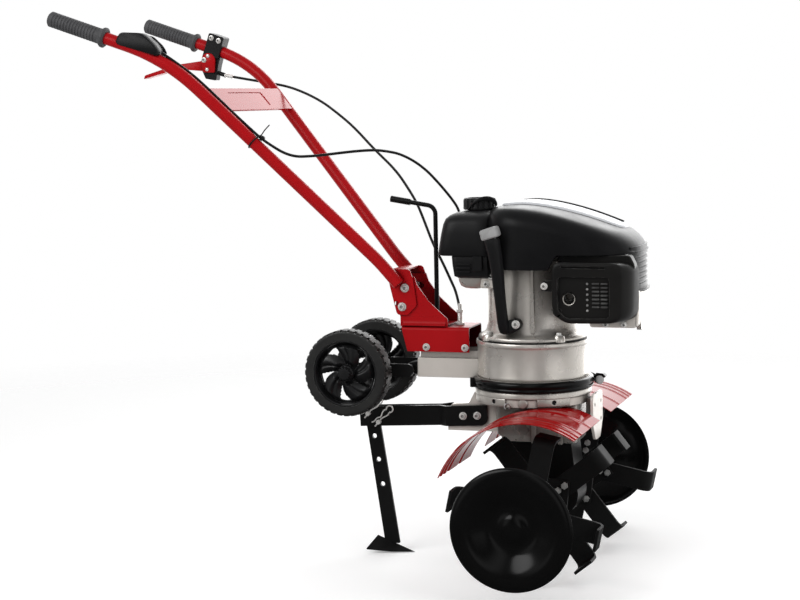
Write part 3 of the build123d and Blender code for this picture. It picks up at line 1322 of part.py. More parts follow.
def shroud_body(inset, base=SHROUD_Z):
    """Crowned engine cover, drawn in by an amount on its top and sides."""
    rear, front = SHROUD_X[0] + inset, SHROUD_X[1] - inset
    half, top = SHROUD_HALF - inset, SHROUD_TOP - inset
    with BuildPart() as body:
        with BuildSketch(side(0)):
            with BuildLine():
                Spline((rear, top - 16), (-65, top), (60, top - 23), (155, top - 62), (front - 4, top - 93))
                Polyline((front - 4, top - 93), (front - 4, base - 1), (rear, base - 1), (rear, top - 16))
            make_face()
        extrude(amount=half, both=True)
        with BuildSketch(level(base)):
            with Locations(((rear + front) / 2, 0)):
                RectangleRounded(front - rear, 2 * half, SHROUD_CORNER - inset)
        extrude(amount=top + 10 - base, mode=Mode.INTERSECT)
        with BuildSketch(cross(rear)):
            with BuildLine():
                Polyline((-half, top - 44), (-half, base - 1), (half, base - 1), (half, top - 44))
                ThreePointArc((half, top - 44), (0, top + CROWN_RISE), (-half, top - 44))
            make_face()
        extrude(amount=front - rear, mode=Mode.INTERSECT)
    return body.part


# Engine shroud: hollow cover on four posts, with a nose that carries the front vents.
nose_half = 78.0
rear_post = SHROUD_X[0] + 20.0
front_post = CYLINDER_X[1] - 60.0
shroud_outside = shroud_body(0)
shroud_inside = shroud_body(SHROUD_T)
post_limit = shroud_body(SHROUD_T / 2, CRANKCASE_TOP)
with BuildPart() as shroud_posts:
    with BuildSketch(level(CRANKCASE_TOP + SEAT_GAP)):
        with Locations((rear_post, -60), (rear_post, 60)):
            Circle(7.0)
    extrude(amount=SHROUD_TOP - CRANKCASE_TOP)
    with BuildSketch(level(CYLINDER_Z[1] + SEAT_GAP)):
        with Locations((front_post, -50), (front_post, 50)):
            Circle(7.0)
    extrude(amount=SHROUD_TOP - CYLINDER_Z[1])
    add(post_limit, mode=Mode.INTERSECT)
with BuildPart() as engine_shroud:
    add(shroud_outside)
    add(shroud_inside, mode=Mode.SUBTRACT)
    add(shroud_posts.part)
    with BuildSketch(side(0)):
        with BuildLine():
            Polyline(
                (shield_x, LIP_Z), (SHROUD_X[1], LIP_Z), (SHROUD_X[1], 506), (SHROUD_X[1] - 6, 519),
                (shield_x, 524), close=True,
            )
        make_face()
    extrude(amount=nose_half, both=True)
    with BuildSketch(Plane(spot(SHROUD_X[1], 0, (LIP_Z + 504) / 2), x_dir=(0, 1, 0), z_dir=(1, 0, 0))):
        with GridLocations(17, 17, 8, 3):
            RectangleRounded(11, 8, 2)
    extrude(amount=-20.0, mode=Mode.SUBTRACT)
save(engine_shroud, "engine_shroud")

# Top panel: a raised cover plate that follows the shroud's crown.
panel_outside = shroud_body(-PANEL_T, SHROUD_Z + 10.0)
panel_inside = shroud_body(-SEAT_GAP, SHROUD_Z)
with BuildPart() as top_panel:
    with BuildSketch(level(SHROUD_Z + 20.0)):
        with Locations(((PANEL_X[0] + PANEL_X[1]) / 2, (PANEL_Y[0] + PANEL_Y[1]) / 2)):
            RectangleRounded(PANEL_X[1] - PANEL_X[0], PANEL_Y[1] - PANEL_Y[0], 40.0)
    extrude(amount=SHROUD_TOP - SHROUD_Z)
    add(panel_outside, mode=Mode.INTERSECT)
    add(panel_inside, mode=Mode.SUBTRACT)
save(top_panel, "top_panel")

# Fuel tank: hollow shell behind the shroud, with a neck under the cap.
tank_front = SHROUD_X[0] - 2 * SEAT_GAP
tank_mid = ((TANK_X + tank_front) / 2, (TANK_Y[0] + TANK_Y[1]) / 2)
neck_r = CAP_R - 10.0
cap_base = TANK_Z[1] + 2.0
with BuildPart() as fuel_tank:
    with BuildSketch(level(TANK_Z[0])):
        with Locations(tank_mid):
            RectangleRounded(tank_front - TANK_X, TANK_Y[1] - TANK_Y[0], 30.0)
    extrude(amount=TANK_Z[1] - TANK_Z[0])
    fillet(fuel_tank.faces().sort_by(Axis.Z)[-1].edges(), 18.0)
    with BuildSketch(level(TANK_Z[1] - 8.0)):
        with Locations(CAP_AT):
            Circle(neck_r)
    extrude(amount=18.0)
    with BuildSketch(level(TANK_Z[0] + TANK_T)):
        with Locations(tank_mid):
            RectangleRounded(tank_front - TANK_X - 2 * TANK_T, TANK_Y[1] - TANK_Y[0] - 2 * TANK_T, 27.0)
    extrude(amount=TANK_Z[1] - TANK_Z[0] - 8.0 * TANK_T, mode=Mode.SUBTRACT)
    with BuildSketch(level(TANK_Z[1] - 8.0 * TANK_T)):
        with Locations(CAP_AT):
            Circle(neck_r - 3.0)
    extrude(amount=8.0 * TANK_T + 10.0, mode=Mode.SUBTRACT)
save(fuel_tank, "fuel_tank")

with BuildPart() as fuel_cap:
    with BuildSketch(level(cap_base)):
        with Locations(CAP_AT):
            Circle(CAP_R)
            with PolarLocations(CAP_R, 24):
                Circle(1.6, mode=Mode.SUBTRACT)
    extrude(amount=CAP_H)
    with BuildSketch(level(cap_base)):
        with Locations(CAP_AT):
            Circle(neck_r + MOVE_GAP)
    extrude(amount=12.0, mode=Mode.SUBTRACT)
save(fuel_cap, "fuel_cap")

# Oil filler: slanted tube from the crankcase, and the dipstick with its cap.
filler_axis = (Vector(*FILLER_HEAD) - Vector(*FILLER_FOOT)).normalized()
filler_length = (Vector(*FILLER_HEAD) - Vector(*FILLER_FOOT)).length
filler_plane = Plane(spot(*FILLER_FOOT), z_dir=filler_axis)
filler_bore = FILLER_R - 3.0
filler_out = Vector(FILLER_FOOT[0] + AXIS_OFFSET, FILLER_FOOT[1], 0)
with BuildPart() as oil_filler:
    with BuildSketch(filler_plane):
        Circle(FILLER_R)
    extrude(amount=filler_length)
    with Locations(spot(*FILLER_FOOT)):
        Sphere(FILLER_R + 1.0)
    with BuildSketch(Plane(spot(*FILLER_FOOT), z_dir=-filler_out.normalized())):
        Circle(FILLER_R + 1.0)
    extrude(amount=filler_out.length - CASE_DRUM_R + 8.0)
    with BuildSketch(level(FILLER_FOOT[2])):
        with Locations(hub_axis):
            Circle(CASE_DRUM_R + SEAT_GAP)
    extrude(amount=4 * FILLER_R, both=True, mode=Mode.SUBTRACT)
    with BuildSketch(filler_plane.offset(filler_length)):
        Circle(filler_bore)
    extrude(amount=-0.75 * filler_length, mode=Mode.SUBTRACT)
save(oil_filler, "oil_filler")

with BuildPart() as dipstick:
    with BuildSketch(filler_plane.offset(filler_length + MOVE_GAP)):
        Circle(DIP_CAP_R)
    extrude(amount=26.0, taper=6)
    with BuildSketch(filler_plane.offset(filler_length + MOVE_GAP)):
        Circle(3.0)
    extrude(amount=-0.7 * filler_length)
save(dipstick, "dipstick")

# Muffler inside its guard, which has an exhaust hole, a row of dots and louvre slots.
outlet = (66.0, 436.0)
muffler_mid = ((MUFFLER_X[0] + MUFFLER_X[1]) / 2, (MUFFLER_Z[0] + MUFFLER_Z[1]) / 2)
muffler_w = MUFFLER_X[1] - MUFFLER_X[0]
muffler_h = MUFFLER_Z[1] - MUFFLER_Z[0]
can_y = (MUFFLER_Y[0] + 8.0, MUFFLER_Y[1] - 6.0)
with BuildPart() as muffler:
    with BuildSketch(placed(side(can_y[1]), muffler_mid)):
        RectangleRounded(muffler_w - 20, muffler_h - 20, 14)
    extrude(amount=can_y[1] - can_y[0])
    with BuildSketch(placed(side(can_y[0]), muffler_mid)):
        with GridLocations(muffler_w - 50, muffler_h - 50, 2, 2):
            Circle(5.0)
    extrude(amount=can_y[0] - MUFFLER_Y[0] - GUARD_WALL - SEAT_GAP)
    with BuildSketch(placed(side(can_y[0]), outlet)):
        Circle(9.0)
    extrude(amount=can_y[0] - MUFFLER_Y[0] + 2.0)
    with BuildSketch(placed(side(can_y[0]), outlet)):
        Circle(7.0)
    extrude(amount=20.0, both=True, mode=Mode.SUBTRACT)
    with BuildSketch(placed(side(-68.0 - SEAT_GAP), (CYLINDER_X[1] - 14.0, cylinder_mid))):
        RectangleRounded(24, 40, 6)
    extrude(amount=-68.0 - SEAT_GAP - can_y[1])
save(muffler, "muffler")

with BuildPart() as muffler_guard:
    with BuildSketch(placed(side(MUFFLER_Y[1]), muffler_mid)):
        RectangleRounded(muffler_w, muffler_h, 16)
    extrude(amount=MUFFLER_Y[1] - MUFFLER_Y[0])
    fillet(muffler_guard.faces().sort_by(Axis.Y)[0].edges(), 8.0)
    with BuildSketch(placed(side(MUFFLER_Y[1]), muffler_mid)):
        RectangleRounded(muffler_w - 2 * GUARD_WALL, muffler_h - 2 * GUARD_WALL, 16 - GUARD_WALL)
    extrude(amount=MUFFLER_Y[1] - MUFFLER_Y[0] - GUARD_WALL, mode=Mode.SUBTRACT)
    with BuildSketch(side(MUFFLER_Y[0] - 1)):
        with Locations(outlet):
            Circle(12.0)
        with Locations(*[(101, muffler_mid[1] + 16 * step) for step in (-2, -1, 0, 1, 2)]):
            Circle(3.0)
        with Locations((145, muffler_mid[1])):
            with GridLocations(20, 13, 3, 6):
                RectangleRounded(14, 5, 2)
    extrude(amount=-GUARD_WALL - 4, mode=Mode.SUBTRACT)
save(muffler_guard, "muffler_guard")

# Carburettor: air box under the tank, with the float bowl below it.
air_half = 60.0
with BuildPart() as carburettor:
    with BuildSketch(level(AIR_Z[0])):
        with Locations(((AIR_X[0] + AIR_X[1]) / 2, 0)):
            RectangleRounded(AIR_X[1] - AIR_X[0], 2 * air_half, 12)
    extrude(amount=TANK_Z[0] - SEAT_GAP - AIR_Z[0])
    with BuildSketch(level(AIR_Z[0])):
        with Locations((AIR_X[0] + 28, -30)):
            Circle(22.0)
    extrude(amount=-30.0)
    with BuildSketch(level(ENGINE_FLANGE_TOP)):
        with Locations(hub_axis):
            Circle(CASE_DRUM_R + SEAT_GAP)
    extrude(amount=CRANKCASE_TOP + SEAT_GAP - ENGINE_FLANGE_TOP, mode=Mode.SUBTRACT)
save(carburettor, "carburettor")

# Bolts of the engine, and of the frame and mudguards.
engine_bolt = hex_bolt(engine_bolt_r, ENGINE_FLANGE_TOP - HOUSING_TOP + 22.0, nut=False)
channel_bolt = hex_bolt(FRAME_BOLT_R, 2 * CHANNEL_HALF)
bar_face = bar_lug + BAR_T
bar_bolt = hex_bolt(FRAME_BOLT_R, 2 * bar_face)
guard_head = (guard_inside**2 - max(abs(x) for x in GUARD_BOLT_X) ** 2) ** 0.5 - 1.5
guard_bolt = hex_bolt(FRAME_BOLT_R, neck_floor - guard_head - 0.5, nut=False)
with BuildPart() as frame_bolts:
    with Locations(*[right_at(x, -CHANNEL_HALF, z) for x, z in CHANNEL_BOLTS]):
        add(channel_bolt)
    bar_heads = [place - Vector(0, bar_face, 0) for place in bar_bolt_spots]
    with Locations(*[Plane(head, x_dir=(1, 0, 0), z_dir=(0, -1, 0)) for head in bar_heads]):
        add(bar_bolt)
    with Locations(*[Plane(spot(*place, guard_head), z_dir=(0, 0, -1)) for place in guard_places]):
        add(guard_bolt)
    with Locations(spot(-AXIS_OFFSET, 0, ENGINE_FLANGE_TOP)):
        with PolarLocations(engine_bolt_circle, 4, start_angle=45):
            add(engine_bolt)
save(frame_bolts, "frame_bolts")


# Cables: straight runs joined by the roundest bends that fit between their points.
def cable(points):
    radii = []
    for before, corner, after in zip(points, points[1:], points[2:]):
        first, second = corner - before, after - corner
        turn = radians(first.get_angle(second))
        radii.append(0.45 * min(first.length, second.length) / tan(turn / 2))
    with BuildLine():
        line = FilletPolyline(*points, radius=radii)
    with BuildPart() as cord:
        with BuildSketch(Plane(line @ 0, z_dir=line % 0)):
            Circle(CABLE_D / 2)
        sweep(path=line)
    print("cable length", round(line.length), "least bend radius", round(min(radii)))
    print("volume ratio", round(cord.part.volume / (pi * CABLE_D**2 / 4 * line.length), 4))
    return cord


clutch_start = placed(clutch_plane, (ferrule_at[0] + END_GAP, ferrule_at[1])).origin
clutch_points = [clutch_start]
clutch_points += [spot(forward, share * GRIP_Y, up) for forward, share, up in CLUTCH_ROUTE]
clutch_points += [spot(cable_post[0], cable_post[1], cable_post[2] + END_GAP)]
save(cable(clutch_points), "clutch_cable")

right_line = handle_route(-1)
throttle_start = placed(throttle_plane, (50.0 + END_GAP, TUBE_D / 2 - 0.6 * CABLE_D)).origin
throttle_points = [throttle_start]
for back, lift in THROTTLE_TIES:
    share = back / right_line.length
    across = (right_line % share).cross(Vector(0, 1, 0)).normalized()
    throttle_points.append(right_line @ share + across * (TUBE_D / 2 + CABLE_D / 2 + lift))
throttle_points += [spot(*point) for point in THROTTLE_ROUTE]
throttle_points += [spot(AIR_X[0] + 15.0, air_half + END_GAP, AIR_Z[0] + 20.0)]
save(cable(throttle_points), "throttle_cable")
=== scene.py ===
# %% [markdown]
# A garden tiller in a plain white studio. The machine's working pieces arrive ready made from the CAD
# pack, so this lesson gives them their finishes and models what CAD leaves plain: the cables, the moulded
# engine covers, and the small trim that a shop photograph shows.

# %% Load the machine
import json
import math

import bmesh
import bpy
from mathutils import Matrix, Vector


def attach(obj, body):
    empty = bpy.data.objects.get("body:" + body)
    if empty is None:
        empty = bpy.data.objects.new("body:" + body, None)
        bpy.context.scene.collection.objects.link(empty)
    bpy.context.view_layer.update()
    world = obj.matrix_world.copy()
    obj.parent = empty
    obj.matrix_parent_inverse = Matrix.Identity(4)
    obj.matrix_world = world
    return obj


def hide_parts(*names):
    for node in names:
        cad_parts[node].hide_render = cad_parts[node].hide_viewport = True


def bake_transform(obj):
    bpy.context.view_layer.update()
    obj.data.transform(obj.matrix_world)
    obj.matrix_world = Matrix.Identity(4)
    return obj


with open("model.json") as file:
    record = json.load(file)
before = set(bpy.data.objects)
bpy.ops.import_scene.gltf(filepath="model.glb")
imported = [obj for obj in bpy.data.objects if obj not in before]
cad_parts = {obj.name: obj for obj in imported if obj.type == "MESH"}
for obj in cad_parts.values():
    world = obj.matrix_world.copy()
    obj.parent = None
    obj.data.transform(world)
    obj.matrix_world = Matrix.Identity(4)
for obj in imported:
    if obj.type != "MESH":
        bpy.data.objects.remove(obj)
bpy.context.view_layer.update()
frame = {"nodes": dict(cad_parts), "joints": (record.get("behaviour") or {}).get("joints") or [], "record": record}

record = frame["record"]
joints = {joint["name"]: joint for joint in frame["joints"]}

# %% [markdown]
# Places are easiest to read from one point on the machine. The tine shaft is that point: `at` takes
# millimetres forward, to the left and up from the middle of the shaft, and gives metres in the frame.

# %% Places from the tine shaft
tine_axis = Vector(joints["tine_spin"]["pos_m"])


def at(forward, left, up):
    """A point in the frame from millimetres forward, left and up of the tine shaft's middle."""
    return tine_axis + Vector((forward, left, up)) / 1000


print("tine shaft at", [round(v, 3) for v in tine_axis])

# %% [markdown]
# The camera stands where the photographer stood: in front of the machine's right side, a little above the
# engine, with a long lens. Its place and turn were worked out from things of known size in the picture.

# %% Camera
LENS_MM = 82.76
SENSOR_MM = 36
CAMERA_PLACE = (914.4, -3819.8, 839.7)
CAMERA_TURN = math.radians(18.33)
CAMERA_DROP = math.radians(6.15)
CAMERA_ROLL = math.radians(-1.16)

level_right = Vector((math.cos(CAMERA_TURN), math.sin(CAMERA_TURN), 0))
forward = Vector((
    -math.sin(CAMERA_TURN) * math.cos(CAMERA_DROP),
    math.cos(CAMERA_TURN) * math.cos(CAMERA_DROP),
    -math.sin(CAMERA_DROP),
))
level_up = level_right.cross(forward)
right = math.cos(CAMERA_ROLL) * level_right + math.sin(CAMERA_ROLL) * level_up
up = math.cos(CAMERA_ROLL) * level_up - math.sin(CAMERA_ROLL) * level_right

camera_data = bpy.data.cameras.new("studio_camera")
camera_data.lens = LENS_MM
camera_data.sensor_width = SENSOR_MM
camera = bpy.data.objects.new("studio_camera", camera_data)
bpy.context.scene.collection.objects.link(camera)
facing_machine = Matrix((right, up, -forward)).transposed().to_4x4()
camera.matrix_world = Matrix.Translation(at(*CAMERA_PLACE)) @ facing_machine
bpy.context.scene.camera = camera
print("camera at", [round(v, 3) for v in camera.location])

# %% [markdown]
# Most of the moulded covers are skins: an outline that changes as it travels. A learner could push a cube
# about by hand, but a skin is easier to measure. A circle is added, its points are set on the first outline,
# and every further outline is an extrusion of the one before. The ends are closed with faces at the end.

# %% Helpers for skins
MERGE_M = 1e-6
PLACE_DIGITS = 6


def nothing_selected():
    """Leaves edit mode and clears the selection, so that the next operator acts on one piece only."""
    if bpy.context.object and bpy.context.object.mode != "OBJECT":
        bpy.ops.object.mode_set(mode="OBJECT")
    bpy.ops.object.select_all(action="DESELECT")


def pick(piece):
    """Makes one piece the selected and active one."""
    nothing_selected()
    piece.select_set(True)
    bpy.context.view_layer.objects.active = piece


def skin(name, rings, start=True, end=True):
    """A skin through rings of points, given in millimetres from the tine shaft."""
    rings = [[at(*point) for point in ring] for ring in rings]
    nothing_selected()
    bpy.ops.mesh.primitive_circle_add(vertices=len(rings[0]))
    piece = bpy.context.object
    piece.name = name
    bpy.ops.object.mode_set(mode="EDIT")
    ring = list(bmesh.from_edit_mesh(piece.data).verts)
    for vertex, point in zip(ring, rings[0]):
        vertex.co = point
    last = [vertex.co.copy() for vertex in ring]
    opening = {place.to_tuple(PLACE_DIGITS) for place in last}
    for points in rings[1:]:
        bpy.ops.mesh.extrude_region()
        fresh = {v.co.to_tuple(PLACE_DIGITS): v for v in bmesh.from_edit_mesh(piece.data).verts if v.select}
        ring = [fresh[place.to_tuple(PLACE_DIGITS)] for place in last]
        for vertex, point in zip(ring, points):
            vertex.co = point
        last = [vertex.co.copy() for vertex in ring]
    if end:
        bpy.ops.mesh.edge_face_add()
    if start:
        bpy.ops.mesh.select_all(action="DESELECT")
        mesh = bmesh.from_edit_mesh(piece.data)
        for vertex in mesh.verts:
            vertex.select = vertex.co.to_tuple(PLACE_DIGITS) in opening
        mesh.select_flush(True)
        bpy.ops.mesh.edge_face_add()
    bpy.ops.mesh.select_all(action="SELECT")
    bpy.ops.mesh.remove_doubles(threshold=MERGE_M)
    bpy.ops.mesh.normals_make_consistent(inside=False)
    bpy.ops.object.mode_set(mode="OBJECT")
    return piece


def applied(piece, kind, **settings):
    """Adds a modifier with its settings and applies it."""
    pick(piece)
    modifier = piece.modifiers.new(kind.title(), kind)
    for label, value in settings.items():
        setattr(modifier, label, value)
    bpy.ops.object.modifier_apply(modifier=modifier.name)
    return piece


def cut(piece, cutter):
    """Takes a cutter's room out of a piece, then removes the cutter."""
    applied(piece, "BOOLEAN", operation="DIFFERENCE", object=cutter, solver="EXACT")
    bpy.data.objects.remove(cutter)
    return piece


def joined(pieces, name):
    """Several meshes as one piece."""
    pick(pieces[0])
    for piece in pieces[1:]:
        piece.select_set(True)
    bpy.ops.object.join()
    pieces[0].name = name
    return pieces[0]


print("skins merge points closer than", MERGE_M, "m")

# %% [markdown]
# An outline starts as a few corners. `rounded` softens them, `even` sets the points at equal steps, and
# `drawn_in` gives a smaller copy. A `slab` is a plate of such an outline, with softened edges.

# %% Helpers for outlines
def rounded(corners, reach, steps=6):
    """Points round a flat polygon, with each corner rounded over a reach along its sides."""
    corners = [Vector(corner) for corner in corners]
    reaches = reach if isinstance(reach, (list, tuple)) else [reach] * len(corners)
    points = []
    for index, corner in enumerate(corners):
        into = (corners[index - 1] - corner).normalized() * reaches[index]
        out = (corners[(index + 1) % len(corners)] - corner).normalized() * reaches[index]
        for step in range(steps):
            share = step / (steps - 1)
            points.append(corner + into * (1 - share) ** 2 + out * share**2)
    return points


def even(points, count):
    """Points at equal steps round a closed outline."""
    loop = points + points[:1]
    lengths = [(b - a).length for a, b in zip(loop, loop[1:])]
    total = sum(lengths)
    spaced, walked, leg = [], 0.0, 0
    for index in range(count):
        goal = total * index / count
        while walked + lengths[leg] < goal:
            walked += lengths[leg]
            leg += 1
        spaced.append(loop[leg].lerp(loop[leg + 1], (goal - walked) / lengths[leg]))
    return spaced


def drawn_in(points, amount):
    """An outline drawn towards its middle by an amount."""
    middle = sum(points, Vector([0.0] * len(points[0]))) / len(points)
    return [point + (middle - point).normalized() * amount for point in points]


def slab(name, corners, reach, near, far, edge=2.0, steps=6):
    """A plate of a forward and up outline, between two places to the left, with softened edges."""
    shape = rounded(corners, reach, steps)
    small = drawn_in(shape, edge)
    way = math.copysign(edge, far - near)
    layers = ((near, small), (near + way, shape), (far - way, shape), (far, small))
    return skin(name, [[(p.x, left, p.y) for p in outline] for left, outline in layers])


def circle(middle, first, second, count=32):
    """Points of a circle or ellipse from its middle and two half axes."""
    middle, first, second = Vector(middle), Vector(first), Vector(second)
    turns = [math.tau * index / count for index in range(count)]
    return [middle + first * math.cos(turn) + second * math.sin(turn) for turn in turns]


print("outline helpers ready")

# %% [markdown]
# A finish is a tree of nodes. A few helpers keep the trees short to write: they feed an input, place a
# noise, mix two colours, stretch a value onto another range, or make one value of two.

# %% Helpers for nodes
def feed(tree, value, socket):
    """Gives an input its value, which may be another node's output or plain numbers."""
    if isinstance(value, bpy.types.NodeSocket):
        tree.links.new(value, socket)
    else:
        socket.default_value = value


def effect(name, inputs, outputs):
    """An empty node group with named value sockets. An input is (name, kind, default)."""
    group = bpy.data.node_groups.new(name, "ShaderNodeTree")
    for label, kind, default in inputs:
        socket = group.interface.new_socket(label, in_out="INPUT", socket_type="NodeSocket" + kind)
        socket.default_value = default
    for label, kind in outputs:
        group.interface.new_socket(label, in_out="OUTPUT", socket_type="NodeSocket" + kind)
    return group, group.nodes.new("NodeGroupInput"), group.nodes.new("NodeGroupOutput")


def noise(tree, scale, detail=3.0, roughness=0.55):
    """The value of a noise texture on the piece's own coordinates."""
    place = tree.nodes.new("ShaderNodeTexCoord")
    texture = tree.nodes.new("ShaderNodeTexNoise")
    texture.inputs["Detail"].default_value = detail
    texture.inputs["Roughness"].default_value = roughness
    tree.links.new(place.outputs["Object"], texture.inputs["Vector"])
    feed(tree, scale, texture.inputs["Scale"])
    return texture.outputs["Fac"]


def mix_colour(tree, share, first, second):
    """A colour between two colours."""
    node = tree.nodes.new("ShaderNodeMix")
    node.data_type = "RGBA"
    for socket, value in (("Factor_Float", share), ("A_Color", first), ("B_Color", second)):
        feed(tree, value, next(s for s in node.inputs if s.identifier == socket))
    return next(s for s in node.outputs if s.identifier == "Result_Color")


def span(tree, value, low, high, new_low=0.0, new_high=1.0):
    """A value stretched from one range onto another, and kept inside it."""
    node = tree.nodes.new("ShaderNodeMapRange")
    for label, number in (("From Min", low), ("From Max", high), ("To Min", new_low), ("To Max", new_high)):
        feed(tree, number, node.inputs[label])
    tree.links.new(value, node.inputs["Value"])
    return node.outputs["Result"]


def combined(tree, operation, first, second):
    """Two values made one, for example by ADD."""
    node = tree.nodes.new("ShaderNodeMath")
    node.operation = operation
    feed(tree, first, node.inputs[0])
    feed(tree, second, node.inputs[1])
    return node.outputs[0]


print("node helpers ready")

# %% [markdown]
# Paint, castings and mouldings all need the same few effects: a fine surface grain, a slow drift of tone,
# edges that are slightly rounded and lightened, as wear and on the tyres as a painted highlight, and a
# painted shade that darkens the colour in crevices.
# Each effect is a node group, built once and placed in every finish with its own values.

# %% Shared effects
DRIFT_SPAN = (0.35, 0.7)
SMEAR_SCALE = 14.0
SMEAR_SPAN = (0.3, 0.7)
EDGE_SAMPLES = 4
EDGE_SPAN = (0.99, 0.78)
PATCH_SPAN = (0.42, 0.62)
SHELTER_SAMPLES = 10
SHELTER_SPAN = (0.72, 0.25)

tone, tone_in, tone_out = effect(
    "tone_drift",
    (
        ("Scale", "Float", 6.0),
        ("Colour", "Color", (0.5, 0.5, 0.5, 1)),
        ("Drift", "Color", (0.4, 0.4, 0.4, 1)),
    ),
    (("Colour", "Color"),),
)
drift_share = span(tone, noise(tone, tone_in.outputs["Scale"], 5.0, 0.6), *DRIFT_SPAN)
drifted = mix_colour(tone, drift_share, tone_in.outputs["Colour"], tone_in.outputs["Drift"])
tone.links.new(drifted, tone_out.inputs["Colour"])

grain, grain_in, grain_out = effect(
    "fine_grain",
    (("Scale", "Float", 900.0), ("Smooth", "Float", 0.3), ("Rough", "Float", 0.5)),
    (("Height", "Float"), ("Roughness", "Float")),
)
grain.links.new(noise(grain, grain_in.outputs["Scale"], 2.0), grain_out.inputs["Height"])
smear = noise(grain, SMEAR_SCALE, 4.0)
smeared = span(grain, smear, *SMEAR_SPAN, grain_in.outputs["Smooth"], grain_in.outputs["Rough"])
grain.links.new(smeared, grain_out.inputs["Roughness"])

# The lightened-edge mask serves wear, and on the tyres also a painted highlight.
edges, edges_in, edges_out = effect(
    "soft_edges",
    (("Radius", "Float", 0.001), ("Patch Scale", "Float", 60.0)),
    (("Normal", "Vector"), ("Lightened Edge", "Float")),
)
rounding = edges.nodes.new("ShaderNodeBevel")
rounding.samples = EDGE_SAMPLES
edges.links.new(edges_in.outputs["Radius"], rounding.inputs["Radius"])
true_normal = edges.nodes.new("ShaderNodeNewGeometry")
facing = edges.nodes.new("ShaderNodeVectorMath")
facing.operation = "DOT_PRODUCT"
edges.links.new(rounding.outputs["Normal"], facing.inputs[0])
edges.links.new(true_normal.outputs["Normal"], facing.inputs[1])
turn_share = span(edges, facing.outputs["Value"], *EDGE_SPAN)
patches = span(edges, noise(edges, edges_in.outputs["Patch Scale"], 4.0, 0.7), *PATCH_SPAN)
edges.links.new(combined(edges, "MULTIPLY", turn_share, patches), edges_out.inputs["Lightened Edge"])
edges.links.new(rounding.outputs["Normal"], edges_out.inputs["Normal"])

# Painted shade: ambient occlusion finds crevices, and a finish darkens its colour there.
crevice_shade, crevice_shade_in, crevice_shade_out = effect("crevices", (("Reach", "Float", 0.1),), (("Depth", "Float"),))
shelter = crevice_shade.nodes.new("ShaderNodeAmbientOcclusion")
shelter.samples = SHELTER_SAMPLES
crevice_shade.links.new(crevice_shade_in.outputs["Reach"], shelter.inputs["Distance"])
crevice_shade.links.new(span(crevice_shade, shelter.outputs["AO"], *SHELTER_SPAN), crevice_shade_out.inputs["Depth"])
print("effects", [group.name for group in (tone, grain, edges, crevice_shade)])

# %% [markdown]
# Every finish on the machine starts from the same recipe, with its own numbers: two close colours that
# drift into each other, a rough and a smooth value, the size and height of its grain, how far its edges are
# rounded and the colour they lighten to, as wear and on the tyres also as a painted highlight, and the colour
# of the painted shade in its crevices. What is the same all over a surface is set on the shader itself.

# %% A finish from the shared effects
CREVICE_REACH = 0.11


def place_group(material, group, **values):
    """Puts a shared effect in a material with its own values."""
    node = material.node_tree.nodes.new("ShaderNodeGroup")
    node.node_tree = group
    for label, value in values.items():
        node.inputs[label.replace("_", " ")].default_value = value
    return node


def finish(
    name, colour, drift, smooth, rough, metal=0.0, tone_scale=6.0, grain_scale=900.0, grain_height=0.02,
    edge=0.0008, wear_and_glint=None, shade=None, reach=CREVICE_REACH, specular=0.5,
):
    """One finish. Colours are linear red, green and blue, and the grain's height is in millimetres."""
    material = bpy.data.materials.new(name)
    material.use_nodes = True
    tree = material.node_tree
    shader = tree.nodes["Principled BSDF"]
    tones = place_group(material, tone, Scale=tone_scale, Colour=(*colour, 1), Drift=(*drift, 1))
    surface = place_group(material, grain, Scale=grain_scale, Smooth=smooth, Rough=rough)
    softened = place_group(material, edges, Radius=edge)
    paint = tones.outputs["Colour"]
    # Lighter edges: wear, and on the tyres also a painted highlight.
    if wear_and_glint:
        paint = mix_colour(tree, softened.outputs["Lightened Edge"], paint, (*wear_and_glint, 1))
    # Painted shade: in crevices the colour turns towards the shade colour.
    if shade:
        painted_shade_node = place_group(material, crevice_shade, Reach=reach)
        paint = mix_colour(tree, painted_shade_node.outputs["Depth"], paint, (*shade, 1))
    tree.links.new(paint, shader.inputs["Base Color"])
    tree.links.new(surface.outputs["Roughness"], shader.inputs["Roughness"])
    bump = tree.nodes.new("ShaderNodeBump")
    bump.inputs["Distance"].default_value = grain_height / 1000
    tree.links.new(surface.outputs["Height"], bump.inputs["Height"])
    tree.links.new(softened.outputs["Normal"], bump.inputs["Normal"])
    tree.links.new(bump.outputs["Normal"], shader.inputs["Normal"])
    shader.inputs["Metallic"].default_value = metal
    shader.inputs["Specular IOR Level"].default_value = specular
    return material


print("a finish darkens in crevices of", CREVICE_REACH, "m")

# %% [markdown]
# Most finishes have the name of a slot in the record. The others, such as the disc enamel and the worn
# studs, are looks for single pieces. Dark paint is nearly black here, and its shine adds the rest.

